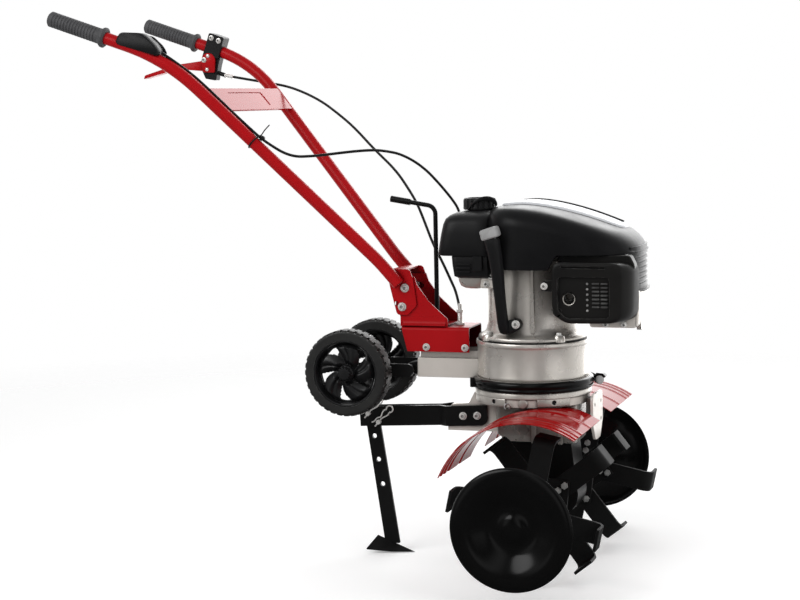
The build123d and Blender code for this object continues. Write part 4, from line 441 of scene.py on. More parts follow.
# %% The finishes
finishes = {
    "red_paint": finish(
        "red_powder_coat", (0.39, 0.005, 0.008), (0.33, 0.004, 0.006), 0.26, 0.36, grain_scale=420,
        grain_height=0.0, edge=0.0012, shade=(0.06, 0.001, 0.002), specular=0.1,
    ),
    "black_steel": finish(
        "black_paint", (0.005, 0.005, 0.005), (0.008, 0.008, 0.008), 0.28, 0.42, grain_scale=600,
        grain_height=0.02, edge=0.001, wear_and_glint=(0.03, 0.03, 0.03), specular=0.13,
    ),
    "cast_alloy": finish(
        "cast_alloy", (0.72, 0.685, 0.64), (0.56, 0.53, 0.485), 0.22, 0.36, metal=0.72, tone_scale=9,
        grain_scale=1300, grain_height=0.04, edge=0.0015, wear_and_glint=(0.8, 0.79, 0.77),
        shade=(0.15, 0.135, 0.12),
    ),
    "beam_alloy": finish(
        "pale_alloy", (0.7, 0.66, 0.61), (0.6, 0.565, 0.52), 0.3, 0.44, metal=0.3, tone_scale=9,
        grain_scale=1300, grain_height=0.03, edge=0.0015, shade=(0.12, 0.105, 0.095), reach=0.05,
    ),
    "zinc": finish(
        "bright_zinc", (0.8, 0.79, 0.77), (0.68, 0.67, 0.64), 0.16, 0.3, metal=0.4, tone_scale=60,
        grain_scale=1500, grain_height=0.02, edge=0.0006, shade=(0.06, 0.06, 0.058), reach=0.005,
    ),
    "grip_rubber": finish(
        "grip_rubber", (0.055, 0.055, 0.058), (0.075, 0.075, 0.078), 0.55, 0.72, tone_scale=25,
        grain_scale=1600, grain_height=0.1, edge=0.0008, specular=0.3,
    ),
    # The tyres' lighter tread edges are partly wear and partly a painted highlight of light from behind.
    "tyre_rubber": finish(
        "tyre_rubber", (0.009, 0.009, 0.009), (0.017, 0.017, 0.016), 0.42, 0.58, tone_scale=18,
        grain_scale=1100, grain_height=0.08, edge=0.001, wear_and_glint=(0.24, 0.24, 0.23), specular=0.34,
    ),
    "black_plastic": finish(
        "black_plastic", (0.006, 0.006, 0.0065), (0.01, 0.01, 0.0105), 0.32, 0.46, grain_scale=1500,
        grain_height=0.05, edge=0.0012, specular=0.16,
    ),
    "shroud_plastic": finish(
        "satin_shroud", (0.005, 0.005, 0.0055), (0.008, 0.008, 0.0085), 0.28, 0.4, grain_scale=1700,
        grain_height=0.05, edge=0.002, specular=0.08,
    ),
    "pale_panel": finish(
        "pale_panel", (0.63, 0.64, 0.66), (0.58, 0.59, 0.61), 0.2, 0.3, grain_scale=1800,
        grain_height=0.02, edge=0.0015, specular=0.1,
    ),
    "cable_sheath": finish(
        "cable_sheath", (0.007, 0.007, 0.007), (0.011, 0.011, 0.011), 0.36, 0.5, tone_scale=30,
        grain_scale=1500, grain_height=0.03, specular=0.16,
    ),
    "drive_steel": finish(
        "drive_steel", (0.5, 0.5, 0.5), (0.4, 0.4, 0.4), 0.22, 0.36, metal=1.0, grain_scale=1500,
        grain_height=0.03,
    ),
    "tine_steel": finish(
        "tine_paint", (0.006, 0.006, 0.006), (0.009, 0.009, 0.009), 0.5, 0.64, grain_scale=500,
        grain_height=0.004, edge=0.0012, wear_and_glint=(0.05, 0.048, 0.046), specular=0.09,
    ),
    "disc_enamel": finish(
        "disc_enamel", (0.0022, 0.0022, 0.0022), (0.003, 0.003, 0.003), 0.12, 0.2, grain_scale=500,
        grain_height=0.002, edge=0.001, specular=0.15,
    ),
    "wheel_plastic": finish(
        "wheel_plastic", (0.004, 0.004, 0.0045), (0.007, 0.007, 0.0075), 0.26, 0.38, grain_scale=1500,
        grain_height=0.03, edge=0.0014, specular=0.36,
    ),
    "grey_plastic": finish(
        "grey_plastic", (0.33, 0.33, 0.33), (0.27, 0.27, 0.27), 0.4, 0.55, grain_scale=1500,
        grain_height=0.06, edge=0.001, specular=0.3,
    ),
    "muffler_steel": finish(
        "heat_paint", (0.005, 0.005, 0.005), (0.009, 0.0085, 0.008), 0.3, 0.44, grain_scale=1100,
        grain_height=0.05, edge=0.0015, wear_and_glint=(0.14, 0.14, 0.135), specular=0.13,
    ),
    "ring_paint": finish(
        "ring_enamel", (0.0025, 0.0025, 0.0025), (0.004, 0.004, 0.004), 0.1, 0.2, grain_scale=500,
        grain_height=0.004, edge=0.001, specular=0.18,
    ),
    "guard_enamel": finish(
        "guard_enamel", (0.33, 0.003, 0.004), (0.28, 0.003, 0.003), 0.07, 0.12, grain_scale=420,
        grain_height=0.0, edge=0.0003, shade=(0.05, 0.001, 0.001), specular=0.06,
    ),
    "plate_enamel": finish(
        "plate_enamel", (0.39, 0.005, 0.008), (0.33, 0.004, 0.006), 0.1, 0.16, grain_scale=420,
        grain_height=0.0, edge=0.0003, shade=(0.06, 0.001, 0.002), specular=0.04,
    ),
    "worn_stud": finish(
        "worn_stud", (0.1, 0.1, 0.098), (0.3, 0.3, 0.29), 0.3, 0.5, tone_scale=60, grain_scale=1100,
        grain_height=0.04, edge=0.0006,
    ),
    "worn_louvre": finish(
        "worn_louvre", (0.02, 0.02, 0.02), (0.07, 0.07, 0.068), 0.3, 0.5, tone_scale=40,
        grain_scale=1100, grain_height=0.04, edge=0.0008, wear_and_glint=(0.3, 0.3, 0.29),
    ),
}
print("finishes", len(finishes))

# %% [markdown]
# Each CAD node takes the finish that the record names for it, but for the neck, which is paler than the
# other castings, and the blades' bolts, which are worn. New pieces are dressed the same way: smooth shading,
# a finish, the body they ride on, and the CAD node that they stand in for.

# %% Dress the CAD nodes
NODE_LOOKS = {"gearbox_neck": "beam_alloy", "tine_bolts": "worn_stud"}
for part in record["subparts"]:
    look = NODE_LOOKS.get(part["node"], part["material_slot"])
    for slot in frame["nodes"][part["node"]].material_slots:
        slot.material = finishes[look]


def dress(piece, body, slot, node=None, angle=35, look=None):
    """Gives a mesh its shading, finish, body and CAD node. `look` is a finish other than the slot's own."""
    pick(piece)
    bpy.ops.object.shade_smooth_by_angle(angle=math.radians(angle))
    piece.data.materials.clear()
    piece.data.materials.append(finishes[look or slot])
    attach(piece, body)
    if node:
        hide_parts(node)
    print(piece.name, len(piece.data.polygons), "faces on", body)
    return piece


print("dressed", len(record["subparts"]), "CAD nodes")

# %% [markdown]
# Cables, pipes and bent wire all start as a curve along a row of points. A round section along the curve
# gives it an even thickness, and the curve then becomes a mesh, like every other piece.

# %% Helpers for curves
CURVE_STEPS = 10
CURVE_ORDER = 3


def line_curve(name, points, kind="NURBS", closed=False):
    """A curve along points given in millimetres from the tine shaft."""
    data = bpy.data.curves.new(name, "CURVE")
    data.dimensions = "3D"
    data.resolution_u = CURVE_STEPS
    spline = data.splines.new(kind)
    spline.points.add(len(points) - 1)
    for control, point in zip(spline.points, points):
        control.co = (*at(*point), 1)
    spline.order_u = CURVE_ORDER
    spline.use_endpoint_u = True
    spline.use_cyclic_u = closed
    curve = bpy.data.objects.new(name, data)
    bpy.context.scene.collection.objects.link(curve)
    return curve


def centre_line(curve):
    """The points along a bare curve."""
    bpy.context.view_layer.update()
    line = bpy.data.meshes.new_from_object(curve)
    points = [vertex.co.copy() for vertex in line.vertices]
    bpy.data.meshes.remove(line)
    return points


def round_tube(curve, radius, sides=4):
    """Turns a curve into a round mesh tube of a radius in millimetres."""
    curve.data.bevel_depth = radius / 1000
    curve.data.bevel_resolution = sides
    curve.data.use_fill_caps = True
    pick(curve)
    bpy.ops.object.convert(target="MESH")
    return bpy.context.object


print("curve helpers ready")

# %% [markdown]
# Each of the two control cables is a NURBS line along measured points, from the control on the handlebar,
# which tilts, to the machine.

# %% Cables
CABLE_D = 6
CLUTCH_ROUTE = (
    (-852.0, 236.0, 909.6), (-802.0, 243.1, 900.0), (-752.0, 248.0, 891.0), (-688.0, 241.9, 879.0),
    (-610.0, 218.1, 848.0), (-551.5, 192.1, 812.0), (-507.0, 168.0, 782.0), (-447.0, 131.9, 732.0),
    (-387.0, 97.9, 688.0), (-347.0, 74.1, 642.0), (-325.0, 62.1, 611.0), (-304.0, 50.0, 568.0),
    (-285.5, 41.1, 527.0), (-260.0, 30.0, 486.0), (-241.0, 20.1, 452.0), (-222.0, 8.0, 420.0),
    (-214.0, 0.0, 385.0),
)
THROTTLE_ROUTE = (
    (-794.6, -236.0, 953.1), (-747.7, -212.2, 916.9), (-701.5, -197.6, 870.9), (-661.4, -177.7, 825.2),
    (-621.1, -164.1, 784.0), (-595.6, -161.9, 761.7), (-544.0, -146.0, 727.0), (-493.0, -130.0, 728.0),
    (-443.0, -111.5, 733.5), (-408.5, -92.5, 736.8), (-376.7, -72.7, 738.0), (-354.0, -52.0, 733.9),
    (-334.0, -31.4, 727.6), (-309.0, -10.0, 711.5), (-289.0, 11.7, 690.9), (-276.0, 33.8, 670.2),
    (-265.0, 56.2, 649.4), (-251.4, 79.0, 623.8), (-243.0, 104.0, 599.0), (-236.0, 106.0, 560.0),
    (-226.0, 106.0, 528.0), (-212.0, 101.0, 502.0), (-197.0, 86.0, 486.0), (-190.0, 61.0, 482.0),
)


def cable(node, route):
    """A cable sheath along a route, made in place of its CAD node."""
    curve = line_curve(node + "_sheath", route)
    path = centre_line(curve)
    piece = round_tube(curve, CABLE_D / 2)
    bpy.ops.object.shade_smooth_by_angle(angle=math.radians(40))
    piece.data.materials.append(finishes["cable_sheath"])
    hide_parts(node)
    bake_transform(piece)


cable("clutch_cable", CLUTCH_ROUTE)
cable("throttle_cable", THROTTLE_ROUTE)

# %% [markdown]
# The handle tubes are bent from one pipe each. A curve with a round section gives the long smooth
# highlight that a painted pipe shows, which the CAD facets break up.

# %% Handle tubes
SIDES = (("right", -1), ("left", 1))
TUBE_R = 13.5
HANDLE_LINE = ((-1053, 236, 1032), (-784, 236, 939), (-376, 63.1, 496), (-332, 63.1, 447))
HANDLE_BENDS = (330, 150)


def bent(points, radii, steps=14):
    """A line with each corner rounded to about its radius."""
    points = [Vector(point) for point in points]
    line = [points[0]]
    for before, corner, after, radius in zip(points, points[1:], points[2:], radii):
        into, out = (before - corner).normalized(), (after - corner).normalized()
        reach = radius * math.tan((math.pi - into.angle(out)) / 2)
        for step in range(steps + 1):
            share = step / steps
            line.append(corner + into * reach * (1 - share) ** 2 + out * reach * share**2)
    return line + [points[-1]]


def rod(name, points, radius, radii=(), sides=4, closed=False):
    """A round rod along a line of points with rounded corners."""
    line = bent(points, radii) if radii else points
    return round_tube(line_curve(name, line, "POLY", closed), radius, sides)


for side_name, side in SIDES:
    line = [(x, side * y, z) for x, y, z in HANDLE_LINE]
    tube = rod(side_name + "_pipe", line, TUBE_R, HANDLE_BENDS, sides=10)
    dress(tube, "handlebar", "red_paint", side_name + "_handle_tube")

# %% [markdown]
# A sheet plate ties the two tubes together just ahead of the bend. It lies across the top of the tubes and
# has a shallow pressed field, so its skin climbs over the edge and down again into the field.

# %% Cross plate
PLATE_MIDDLE = Vector((-697, 0, 844.5))
PLATE_ALONG = Vector((0.6775, 0, -0.7356))
PLATE_UP = Vector((0.7356, 0, 0.6775))
PLATE_UNDER, PLATE_TOP, FIELD_FLOOR, FIELD_SLOPE = 8, 12.4, 11, 1.5


def on_plate(points, lift):
    """Points along and across the plate, at a height over the tubes' middles."""
    return [PLATE_MIDDLE + PLATE_ALONG * p.x + Vector((0, p.y, 0)) + PLATE_UP * lift for p in points]


plate_shape = rounded([(-32, -206), (32, -186), (32, 186), (-32, 206)], 6)
field = rounded([(-20, -110), (20, -104), (20, 74), (-20, 80)], 4)
plate = skin("cross_sheet", [
    on_plate(plate_shape, PLATE_UNDER),
    on_plate(plate_shape, PLATE_TOP),
    on_plate(field, PLATE_TOP),
    on_plate(drawn_in(field, FIELD_SLOPE), FIELD_FLOOR),
])
dress(plate, "handlebar", "red_paint", "cross_plate", look="plate_enamel")

# %% [markdown]
# The throttle sits on the right tube in a wedge-shaped moulding. The clutch lever on the left is a folded
# plate with a long thin blade, and turns on a bolt in its bracket.

# %% Throttle housing and clutch lever
housing = slab("throttle_wedge", [
    (-896, 980), (-885, 999), (-834, 996), (-806, 972), (-797, 958), (-799, 946), (-892, 973),
], [3, 9, 12, 10, 6, 4, 4], -253, -220, edge=3.5)
dress(housing, "handlebar", "black_plastic", "throttle_housing", angle=50)

thumb_plate = slab("throttle_plate", [
    (-868, 966), (-858, 988), (-826, 992), (-799, 967), (-792, 952), (-798, 947), (-850, 960),
], [4, 8, 12, 8, 4, 3, 6], -217, -212, edge=1.2)
dress(thumb_plate, "throttle", "black_plastic", "throttle_lever", angle=50)

LEVER_CHEEK = [(-909, 950), (-900, 964), (-881, 963), (-873, 951), (-876, 917), (-906, 919)]
CHEEK_REACH = [5, 7, 8, 5, 5, 5]
blade = joined([
    slab("lever_arm", [
        (-1064, 906), (-1061, 915), (-980, 938), (-908, 946), (-900, 942), (-900, 921), (-975, 928),
    ], [3, 3, 14, 4, 3, 3, 14], 223, 249, edge=2.0),
    slab("near_cheek", LEVER_CHEEK, CHEEK_REACH, 217.5, 223.5, edge=1.2),
    slab("far_cheek", LEVER_CHEEK, CHEEK_REACH, 248.5, 254.5, edge=1.2),
], "clutch_blade")
dress(blade, "clutch", "red_paint", "clutch_lever", angle=50)

# %% [markdown]
# A plastic tie holds the throttle cable on the right tube, and its cut tail stands up. Threaded adjusters
# hold both ends of the clutch cable. They are rods with turned rings, so a few circles are enough.

# %% Tie and adjusters
TIE_MIDDLE = Vector((-618, -165.7, 758.8))
TIE_LIFT, TIE_HALF, TIE_RISE = 4, 16, 19
loop = circle(TIE_MIDDLE + PLATE_UP * TIE_LIFT, (0, TIE_HALF, 0), PLATE_UP * TIE_RISE, 28)
tail_foot = TIE_MIDDLE + PLATE_UP * (TIE_LIFT + TIE_RISE)
tail = [tail_foot + Vector(step) for step in ((-3, 0, -4), (8, 1, 11), (19, 2, 22))]
tie = joined([
    rod("tie_loop", loop, 1.6, closed=True),
    rod("tie_tail", tail, 1.3),
    slab("tie_head", [(-605, 768), (-596, 774), (-592, 768), (-601, 762)], 2, -169, -162, edge=1.0, steps=3),
], "cable_tie")
dress(tie, "handlebar", "black_plastic")


def turned(name, middle, axis, profile, count=24):
    """A turned piece from (distance along its axis, radius) pairs."""
    axis = Vector(axis).normalized()
    across = axis.orthogonal().normalized()
    upward = axis.cross(across)
    middle = Vector(middle)
    return skin(name, [circle(middle + axis * far, across * r, upward * r, count) for far, r in profile])


ridges = [pair for step in range(7) for pair in ((10 + step * 2.4, 5.6), (11.2 + step * 2.4, 5.0))]
adjuster = turned("clutch_adjuster", (-214, 0, 354.5), (0, 0, 1), [
    (0, 10), (5, 10), (5.5, 5.4), *ridges, (27.5, 7.4), (33.5, 7.4), (34, 4.6), (46, 4.4), (46.5, 3.2),
])
dress(adjuster, "chassis", "zinc")
rivets = [turned("lever_rivet", (x, 217.5, z), (0, -1, 0), [(0, 4.2), (1.2, 4.2), (2.4, 2.2)], 16)
          for x, z in ((-891, 957), (-894, 925))]
dress(joined(rivets, "lever_rivets"), "clutch", "zinc")
sleeve = turned("lever_adjuster", (-856, 235.5, 910.4), (50, 7, -9.6), [
    (0, 6), (4, 6), (4.4, 4.4), (16, 4.4), (16.4, 5.4), (20, 5.4), (20.5, 3.2),
])
dress(sleeve, "handlebar", "zinc")

# %% [markdown]
# The engine cover is one smooth black moulding. Seen from the side its crown is highest behind the middle
# and falls ever faster to the front. So its top is a formula, and its skin climbs from the lower edge, over
# a rounded shoulder, to the middle of the crown.

# %% Engine cover
COVER_REAR, COVER_FRONT, COVER_HALF = -128, 194, 148
COVER_REACH, COVER_WALL_M = (96, 132), 0.003
CROWN_X, CROWN_HEIGHT = -60, 620.5
FRONT_FALL, FRONT_POWER, REAR_FALL, SIDE_FALL = 0.0105, 1.6, 0.0019, 0.00045
FOOT_HEIGHT, FOOT_STEP, STEP_START, STEP_LENGTH = 488, 31, 16, 22
SHOULDER = 36


def cover_top(x, y):
    """Height of the crown over the tine shaft."""
    front, rear = max(0.0, x - CROWN_X), min(0.0, x - CROWN_X)
    return CROWN_HEIGHT - FRONT_FALL * front**FRONT_POWER - REAR_FALL * rear**2 - SIDE_FALL * y**2


def cover_foot(x):
    """Height of the cover's lower edge, which steps up over the exhaust."""
    step = min(1.0, max(0.0, (x - STEP_START) / STEP_LENGTH))
    return FOOT_HEIGHT + FOOT_STEP * step * step * (3 - 2 * step)


def cover_plan(inset):
    """The cover's plan outline, drawn in by an amount."""
    x0, x1, half = COVER_REAR + 0.25 * inset, COVER_FRONT - inset, COVER_HALF - inset
    corners = [(x0, -half), (x1, -half), (x1, half), (x0, half)]
    rear, front = (min(0.98 * half, max(4.0, reach - 0.75 * inset)) for reach in COVER_REACH)
    return even(rounded(corners, [rear, front, front, rear], 12), 160)


rings = [[(p.x, p.y, cover_foot(p.x)) for p in cover_plan(0)]]
for turn in (0, 15, 30, 45, 60, 75, 90):
    inset = SHOULDER * (1 - math.cos(math.radians(turn)))
    drop = SHOULDER * (1 - math.sin(math.radians(turn)))
    plan = cover_plan(inset)
    rings.append([(p.x, p.y, max(cover_top(p.x, p.y) - drop, cover_foot(p.x) + 3)) for p in plan])
for inset in (52, 70, 90, 110, 130, 142):
    rings.append([(p.x, p.y, cover_top(p.x, p.y)) for p in cover_plan(inset)])
cover = skin("engine_cover", rings, start=False)
applied(cover, "SOLIDIFY", thickness=COVER_WALL_M, offset=-1.0)
dress(cover, "chassis", "shroud_plastic", "engine_shroud", angle=60)

# %% [markdown]
# Below the cover's front hangs a skirt that follows the same plan line, with cooling grooves across it and a
# thin lip at its foot. It is a skin again: the plan line out and back, climbing through the grooves.

# %% Front skirt
SKIRT_FOOT, SKIRT_TOP, SKIRT_WALL, SKIRT_LIP, GROOVE_DEPTH = 436, 532, 5, 6, 2.5
skirt_line = sorted((p for p in cover_plan(2) if p.x > 100 and abs(p.y) < 88), key=lambda p: p.y)


def skirt_ring(height, out):
    """The skirt's plan at a height, drawn out forward by an amount."""
    outer = [(p.x + out, p.y, height) for p in skirt_line]
    return outer + [(p.x - SKIRT_WALL, 0.96 * p.y, height) for p in reversed(skirt_line)]


skirt_layers = [(SKIRT_FOOT, SKIRT_LIP), (SKIRT_FOOT + 4, SKIRT_LIP), (SKIRT_FOOT + 5, 0)]
for foot in range(SKIRT_FOOT + 16, SKIRT_TOP - 14, 11):
    skirt_layers += [(foot, 0), (foot + 1, -GROOVE_DEPTH), (foot + 5, -GROOVE_DEPTH), (foot + 6, 0)]
skirt_layers.append((SKIRT_TOP, 0))
skirt = skin("front_skirt", [skirt_ring(height, out) for height, out in skirt_layers])
dress(skirt, "chassis", "shroud_plastic")

# %% [markdown]
# A pale panel covers the far part of the crown. It is the crown's own formula again, lifted by a few
# millimetres, so it follows the cover all over, with a softened rim. Its tapered front runs on towards the
# nose as a painted highlight.

# %% Top panel
def panel_plan(inset):
    """The panel's plan outline, drawn in by an amount."""
    # The front, tapering out to 150 mm, is pale as a painted highlight on the crown's nose.
    rear, front, half = -106 + inset, 150 - inset, 0.5 * inset
    corners = [(rear, -54 + inset), (front, -14 + half), (front, 64 - half), (rear, 100 - inset)]
    return even(rounded(corners, max(4.0, 26 - half), 8), 72)


panel = skin("pale_crown", [
    [(p.x, p.y, cover_top(p.x, p.y) + lift) for p in panel_plan(inset)]
    for inset, lift in ((0, -1), (0, 2.4), (1.2, 3.8), (4, 4.6), (18, 5), (36, 5), (54, 5), (70, 5))
])
dress(panel, "chassis", "pale_panel", "top_panel", angle=50)

rim_line = [(x, 99 - 35 * (x + 92) / 230) for x in range(-92, 140, 12)]
panel_rim = rod("panel_rim", [(x, y, cover_top(x, y) + 5.5) for x, y in rim_line], 2.4)
dress(panel_rim, "chassis", "shroud_plastic")

# %% [markdown]
# The fuel tank is a moulded box that leans out towards its foot and has a soft top under the cap. Such a box
# is a skin through level outlines, each with its own sides and its own roundness.

# %% Fuel tank
def moulded_box(name, layers):
    """A skin through level outlines, each (height, rear, front, right, left, reach of its corners)."""
    rings = []
    for height, rear, front, right, left, reach in layers:
        corners = [(rear, right), (front, right), (front, left), (rear, left)]
        rings.append([(p.x, p.y, height) for p in even(rounded(corners, reach, 8), 80)])
    return skin(name, rings)


TANK_FRONT = -112
TANK_LAYERS = (
    (514, -226, -112, 92, 20), (519, -232, -114, 96, 24), (540, -229, -114, 96, 26),
    (560, -226, -113, 95, 28), (580, -222, -111, 93, 30), (591, -218, -107, 89, 32),
    (598, -211, -99, 81, 32), (603, -200, -87, 69, 30), (606, -182, -68, 50, 26),
    (606.8, -164, -45, 25, 18),
)
tank = moulded_box("tank_moulding", [
    (height, rear, TANK_FRONT, right, left, reach) for height, rear, right, left, reach in TANK_LAYERS
])
CAP_MIDDLE = (-160, -20)
neck = turned("tank_neck", (*CAP_MIDDLE, 596), (0, 0, 1), [
    (0, 30), (8, 30), (9, 23), (16, 23), (16.5, 20),
], 40)
dress(joined([tank, neck], "fuel_tank_moulding"), "chassis", "black_plastic", "fuel_tank", angle=50)

# %% [markdown]
# Below the tank sit the air box, with a catch and three ribs on its right side, and the bright carburettor
# bowl, which narrows to its foot. Both are skins through level outlines again.

# %% Air box and bowl
AIR_FRONT, AIR_REACH, BOWL_LEFT = -118, 9, 30
AIR_LAYERS = (
    (466, -190, -96, 50), (470, -197, -103, 56), (495, -200, -106, 58), (512, -201, -107, 58),
    (516, -199, -105, 56),
)
air_box = moulded_box("air_box", [
    (height, rear, AIR_FRONT, right, left, AIR_REACH) for height, rear, right, left in AIR_LAYERS
])
catch = slab("air_box_catch", [(-152, 482), (-152, 514), (-131, 514), (-131, 482)], 3, -112, -103, edge=1.5)
ribs = []
for z in (478, 486, 494):
    rib = [(-190, z), (-190, z + 3), (-158, z + 3), (-158, z)]
    ribs.append(slab("air_box_rib", rib, 1, -109, -104, edge=0.8, steps=3))
dress(joined([air_box, catch, *ribs], "air_box"), "chassis", "black_plastic", "carburettor")

BOWL_LAYERS = (
    (441, -172, -150, -70, 10), (442.5, -182, -142, -78, 16), (448, -190, -134, -86, 20),
    (457, -193, -128, -90, 20), (468, -195, -124, -92, 20),
)
bowl = moulded_box("carburettor_bowl", [
    (height, rear, front, right, BOWL_LEFT, reach) for height, rear, front, right, reach in BOWL_LAYERS
])
dress(bowl, "chassis", "cast_alloy")

# %% [markdown]
# The fuel cap has finger ribs round its side and a keeper strap in front. A ribbed outline is a circle whose
# radius swings in and out.

# %% Fuel cap
def ribbed(middle, radius, depth, height, ribs=18, count=144):
    """A level circle whose radius swings in and out."""
    points = []
    for index in range(count):
        turn = math.tau * index / count
        wave = max(0.0, math.cos(ribs * turn)) ** 0.5
        reach = radius - depth * wave
        points.append((middle[0] + reach * math.cos(turn), middle[1] + reach * math.sin(turn), height))
    return points


CAP_LAYERS = (
    (33, 0.1, 607), (35, 0.1, 608), (35.5, 0.1, 612), (35, 2.6, 613), (35, 2.8, 627), (33.5, 2, 630.5),
    (30, 0.6, 632), (27, 0.1, 632), (26, 0.1, 629.5), (12, 0.1, 629),
)
cap = skin("ribbed_cap", [ribbed(CAP_MIDDLE, *layer) for layer in CAP_LAYERS])
dress(cap, "fuel_cap", "black_plastic", "fuel_cap", angle=50)

STRAP_LINE = (
    (-178, -52, 604), (-172, -56, 616), (-160, -59, 626), (-146, -58, 632), (-132, -52, 633),
    (-121, -42, 627), (-117, -34, 615),
)
STRAP_SECTION = ((-2, -1.5, -5), (-2, 2, -5), (2, 2, 5), (2, -1.5, 5))
strap = skin("keeper_strap", [
    [Vector(place) + Vector(corner) for corner in STRAP_SECTION] for place in STRAP_LINE
])
applied(strap, "SUBSURF", levels=2, render_levels=2)
dress(strap, "chassis", "black_plastic", angle=60)

# %% [markdown]
# The oil filler is a thick moulded tube that is wider at its mouth. Its foot has a lug with a bolt. The
# dipstick's grip is a pale wedge, and its rod slides down inside the tube.

# %% Oil filler and dipstick
FILLER_MOUTH = (-97, -157, 556)
FILLER = (
    (FILLER_MOUTH, 15.0), ((-96.5, -156.5, 553), 16.5), ((-95.5, -154, 540), 16.5),
    ((-93, -150, 524), 15.5), ((-89.5, -144, 488), 13.8), ((-88, -131, 430), 12.2),
    ((-85.5, -120, 377), 12.0), ((-84, -117, 362), 12.0), ((-83.5, -115, 353), 10.0),
    ((-83, -114, 350), 6.0),
)
filler = skin("filler_tube", [
    circle(middle, (radius, 0, -0.08 * radius), (0, radius, 0), 40) for middle, radius in FILLER
])
lug = slab("filler_lug", [
    (-92, 352), (-92, 374), (-60, 384), (-48, 376), (-50, 362), (-66, 352),
], [6, 6, 8, 7, 7, 6], -121, -86, edge=2)
dress(joined([filler, lug], "filler_tube"), "chassis", "black_plastic", "oil_filler", angle=50)

HEX_COUNT = 24
BOLT_PROFILE = (
    (0, 1.35, 0), (0.25, 1.35, 0), (0.3, 1, 1), (0.95, 1, 1), (1.1, 0.86, 1), (1.1, 0.56, 0), (0.5, 0.5, 0),
)


def bolt_head(name, middle, axis=(0, -1, 0), radius=6.0):
    """A flanged hexagon head with a sunk middle, which stands on a face along an axis."""
    middle, axis = Vector(middle), Vector(axis).normalized()
    across = axis.orthogonal().normalized()
    upward = axis.cross(across)
    rings = []
    for far, share, flats in BOLT_PROFILE:
        ring = []
        for index in range(HEX_COUNT):
            turn = math.tau * index / HEX_COUNT
            flat = math.cos(math.pi / 6) / math.cos(turn % (math.pi / 3) - math.pi / 6)
            reach = radius * share * (flat if flats else 1)
            out = across * math.cos(turn) + upward * math.sin(turn)
            ring.append(middle + axis * far * radius + out * reach)
        rings.append(ring)
    return skin(name, rings)


dress(bolt_head("filler_bolt", (-57, -121, 372), radius=6.5), "chassis", "zinc")

wedge = slab("dipstick_grip", [
    (-120, 571), (-86, 582), (-80, 560), (-114, 550),
], [6, 7, 6, 5], -176, -138, edge=3.5)
rod_end = turned("dipstick_rod", FILLER_MOUTH, (13, 43, -189), [
    (0, 9), (10, 9), (11, 3), (150, 3), (152, 1.5),
], 16)
dress(joined([wedge, rod_end], "dipstick_grip"), "dipstick", "grey_plastic", "dipstick", angle=50)

# %% [markdown]
# The exhaust guard is a pressed cover with big rounded corners. Its right side rounds back to the engine,
# and its face is sunk inside a broad frame, with a long slot and a round outlet cut through.

# %% Exhaust guard
GUARD = [(31, 507), (179, 505), (176, 383), (54, 381), (31, 406)]
GUARD_REACH = [20, 26, 30, 20, 18]
GUARD_PANEL = [(43, 477), (151, 477), (151, 393), (61, 391), (43, 409)]
PANEL_REACH = [9] * 5
OUTLET_X, OUTLET_Z = 66, 431


def guard_ring(left, wider, corners=GUARD, reach=GUARD_REACH):
    """The guard's outline at a place to the left, drawn out forward by an amount."""
    shaped = [(x + (wider if x > 150 else 0.15 * wider), z) for x, z in corners]
    return [(p.x, left, p.y) for p in rounded(shaped, reach, 9)]


guard_face = rounded(GUARD, GUARD_REACH, 9)
guard_sides = ((-100, 22), (-128, 18.5), (-142, 14), (-152, 8.5), (-159, 3.5), (-163.5, 0))
guard = skin("guard_pressing", [
    *(guard_ring(left, wider) for left, wider in guard_sides),
    *([(p.x, left, p.y) for p in drawn_in(guard_face, inset)] for left, inset in ((-166, 3), (-166.6, 8))),
    guard_ring(-166, 0, GUARD_PANEL, PANEL_REACH),
    guard_ring(-159, -1.5, GUARD_PANEL, PANEL_REACH),
])
for cutter in (
    slab("slot_cutter", [(50, 495), (50, 499), (142, 498), (142, 494)], 1.6, -170, -161, edge=0.2, steps=4),
    turned("outlet_cutter", (OUTLET_X, -170, OUTLET_Z), (0, 1, 0), [(0, 15), (25, 15)], 40),
):
    cut(guard, cutter)
dress(guard, "chassis", "muffler_steel", "muffler_guard", angle=40)

# %% [markdown]
# Two columns of louvres and a column of worn studs stand on the guard's face, and the outlet pipe ends in
# its hole. A lug and a heat shield hold the guard, and bolted flanges show below it and at the carburettor.
# The black shield also fills the gap under the cover's foot as painted shade.

# %% Guard details and flanges
louvres = []
for x in (114, 132):
    for z in range(414, 468, 8):
        louvre = [(x, z), (x, z + 3), (x + 15, z + 3), (x + 15, z)]
        louvres.append(slab("louvre", louvre, 1.2, -162.6, -158, edge=0.9, steps=3))
studs = [turned("vent_stud", (104, -158, z), (0, -1, 0), [(0, 2.6), (3, 2.4), (3.8, 1.4)], 12)
         for z in range(408, 470, 11)]
outlet = turned("outlet_pipe", (OUTLET_X, -146, OUTLET_Z), (0, -1, 0), [
    (0, 3), (0.4, 11), (14, 11), (14.5, 13), (1, 13.4),
], 32)
dress(joined(louvres, "guard_louvres"), "chassis", "muffler_steel", look="worn_louvre")
dress(joined(studs, "guard_studs"), "chassis", "muffler_steel", look="worn_stud")
dress(outlet, "chassis", "cast_alloy")

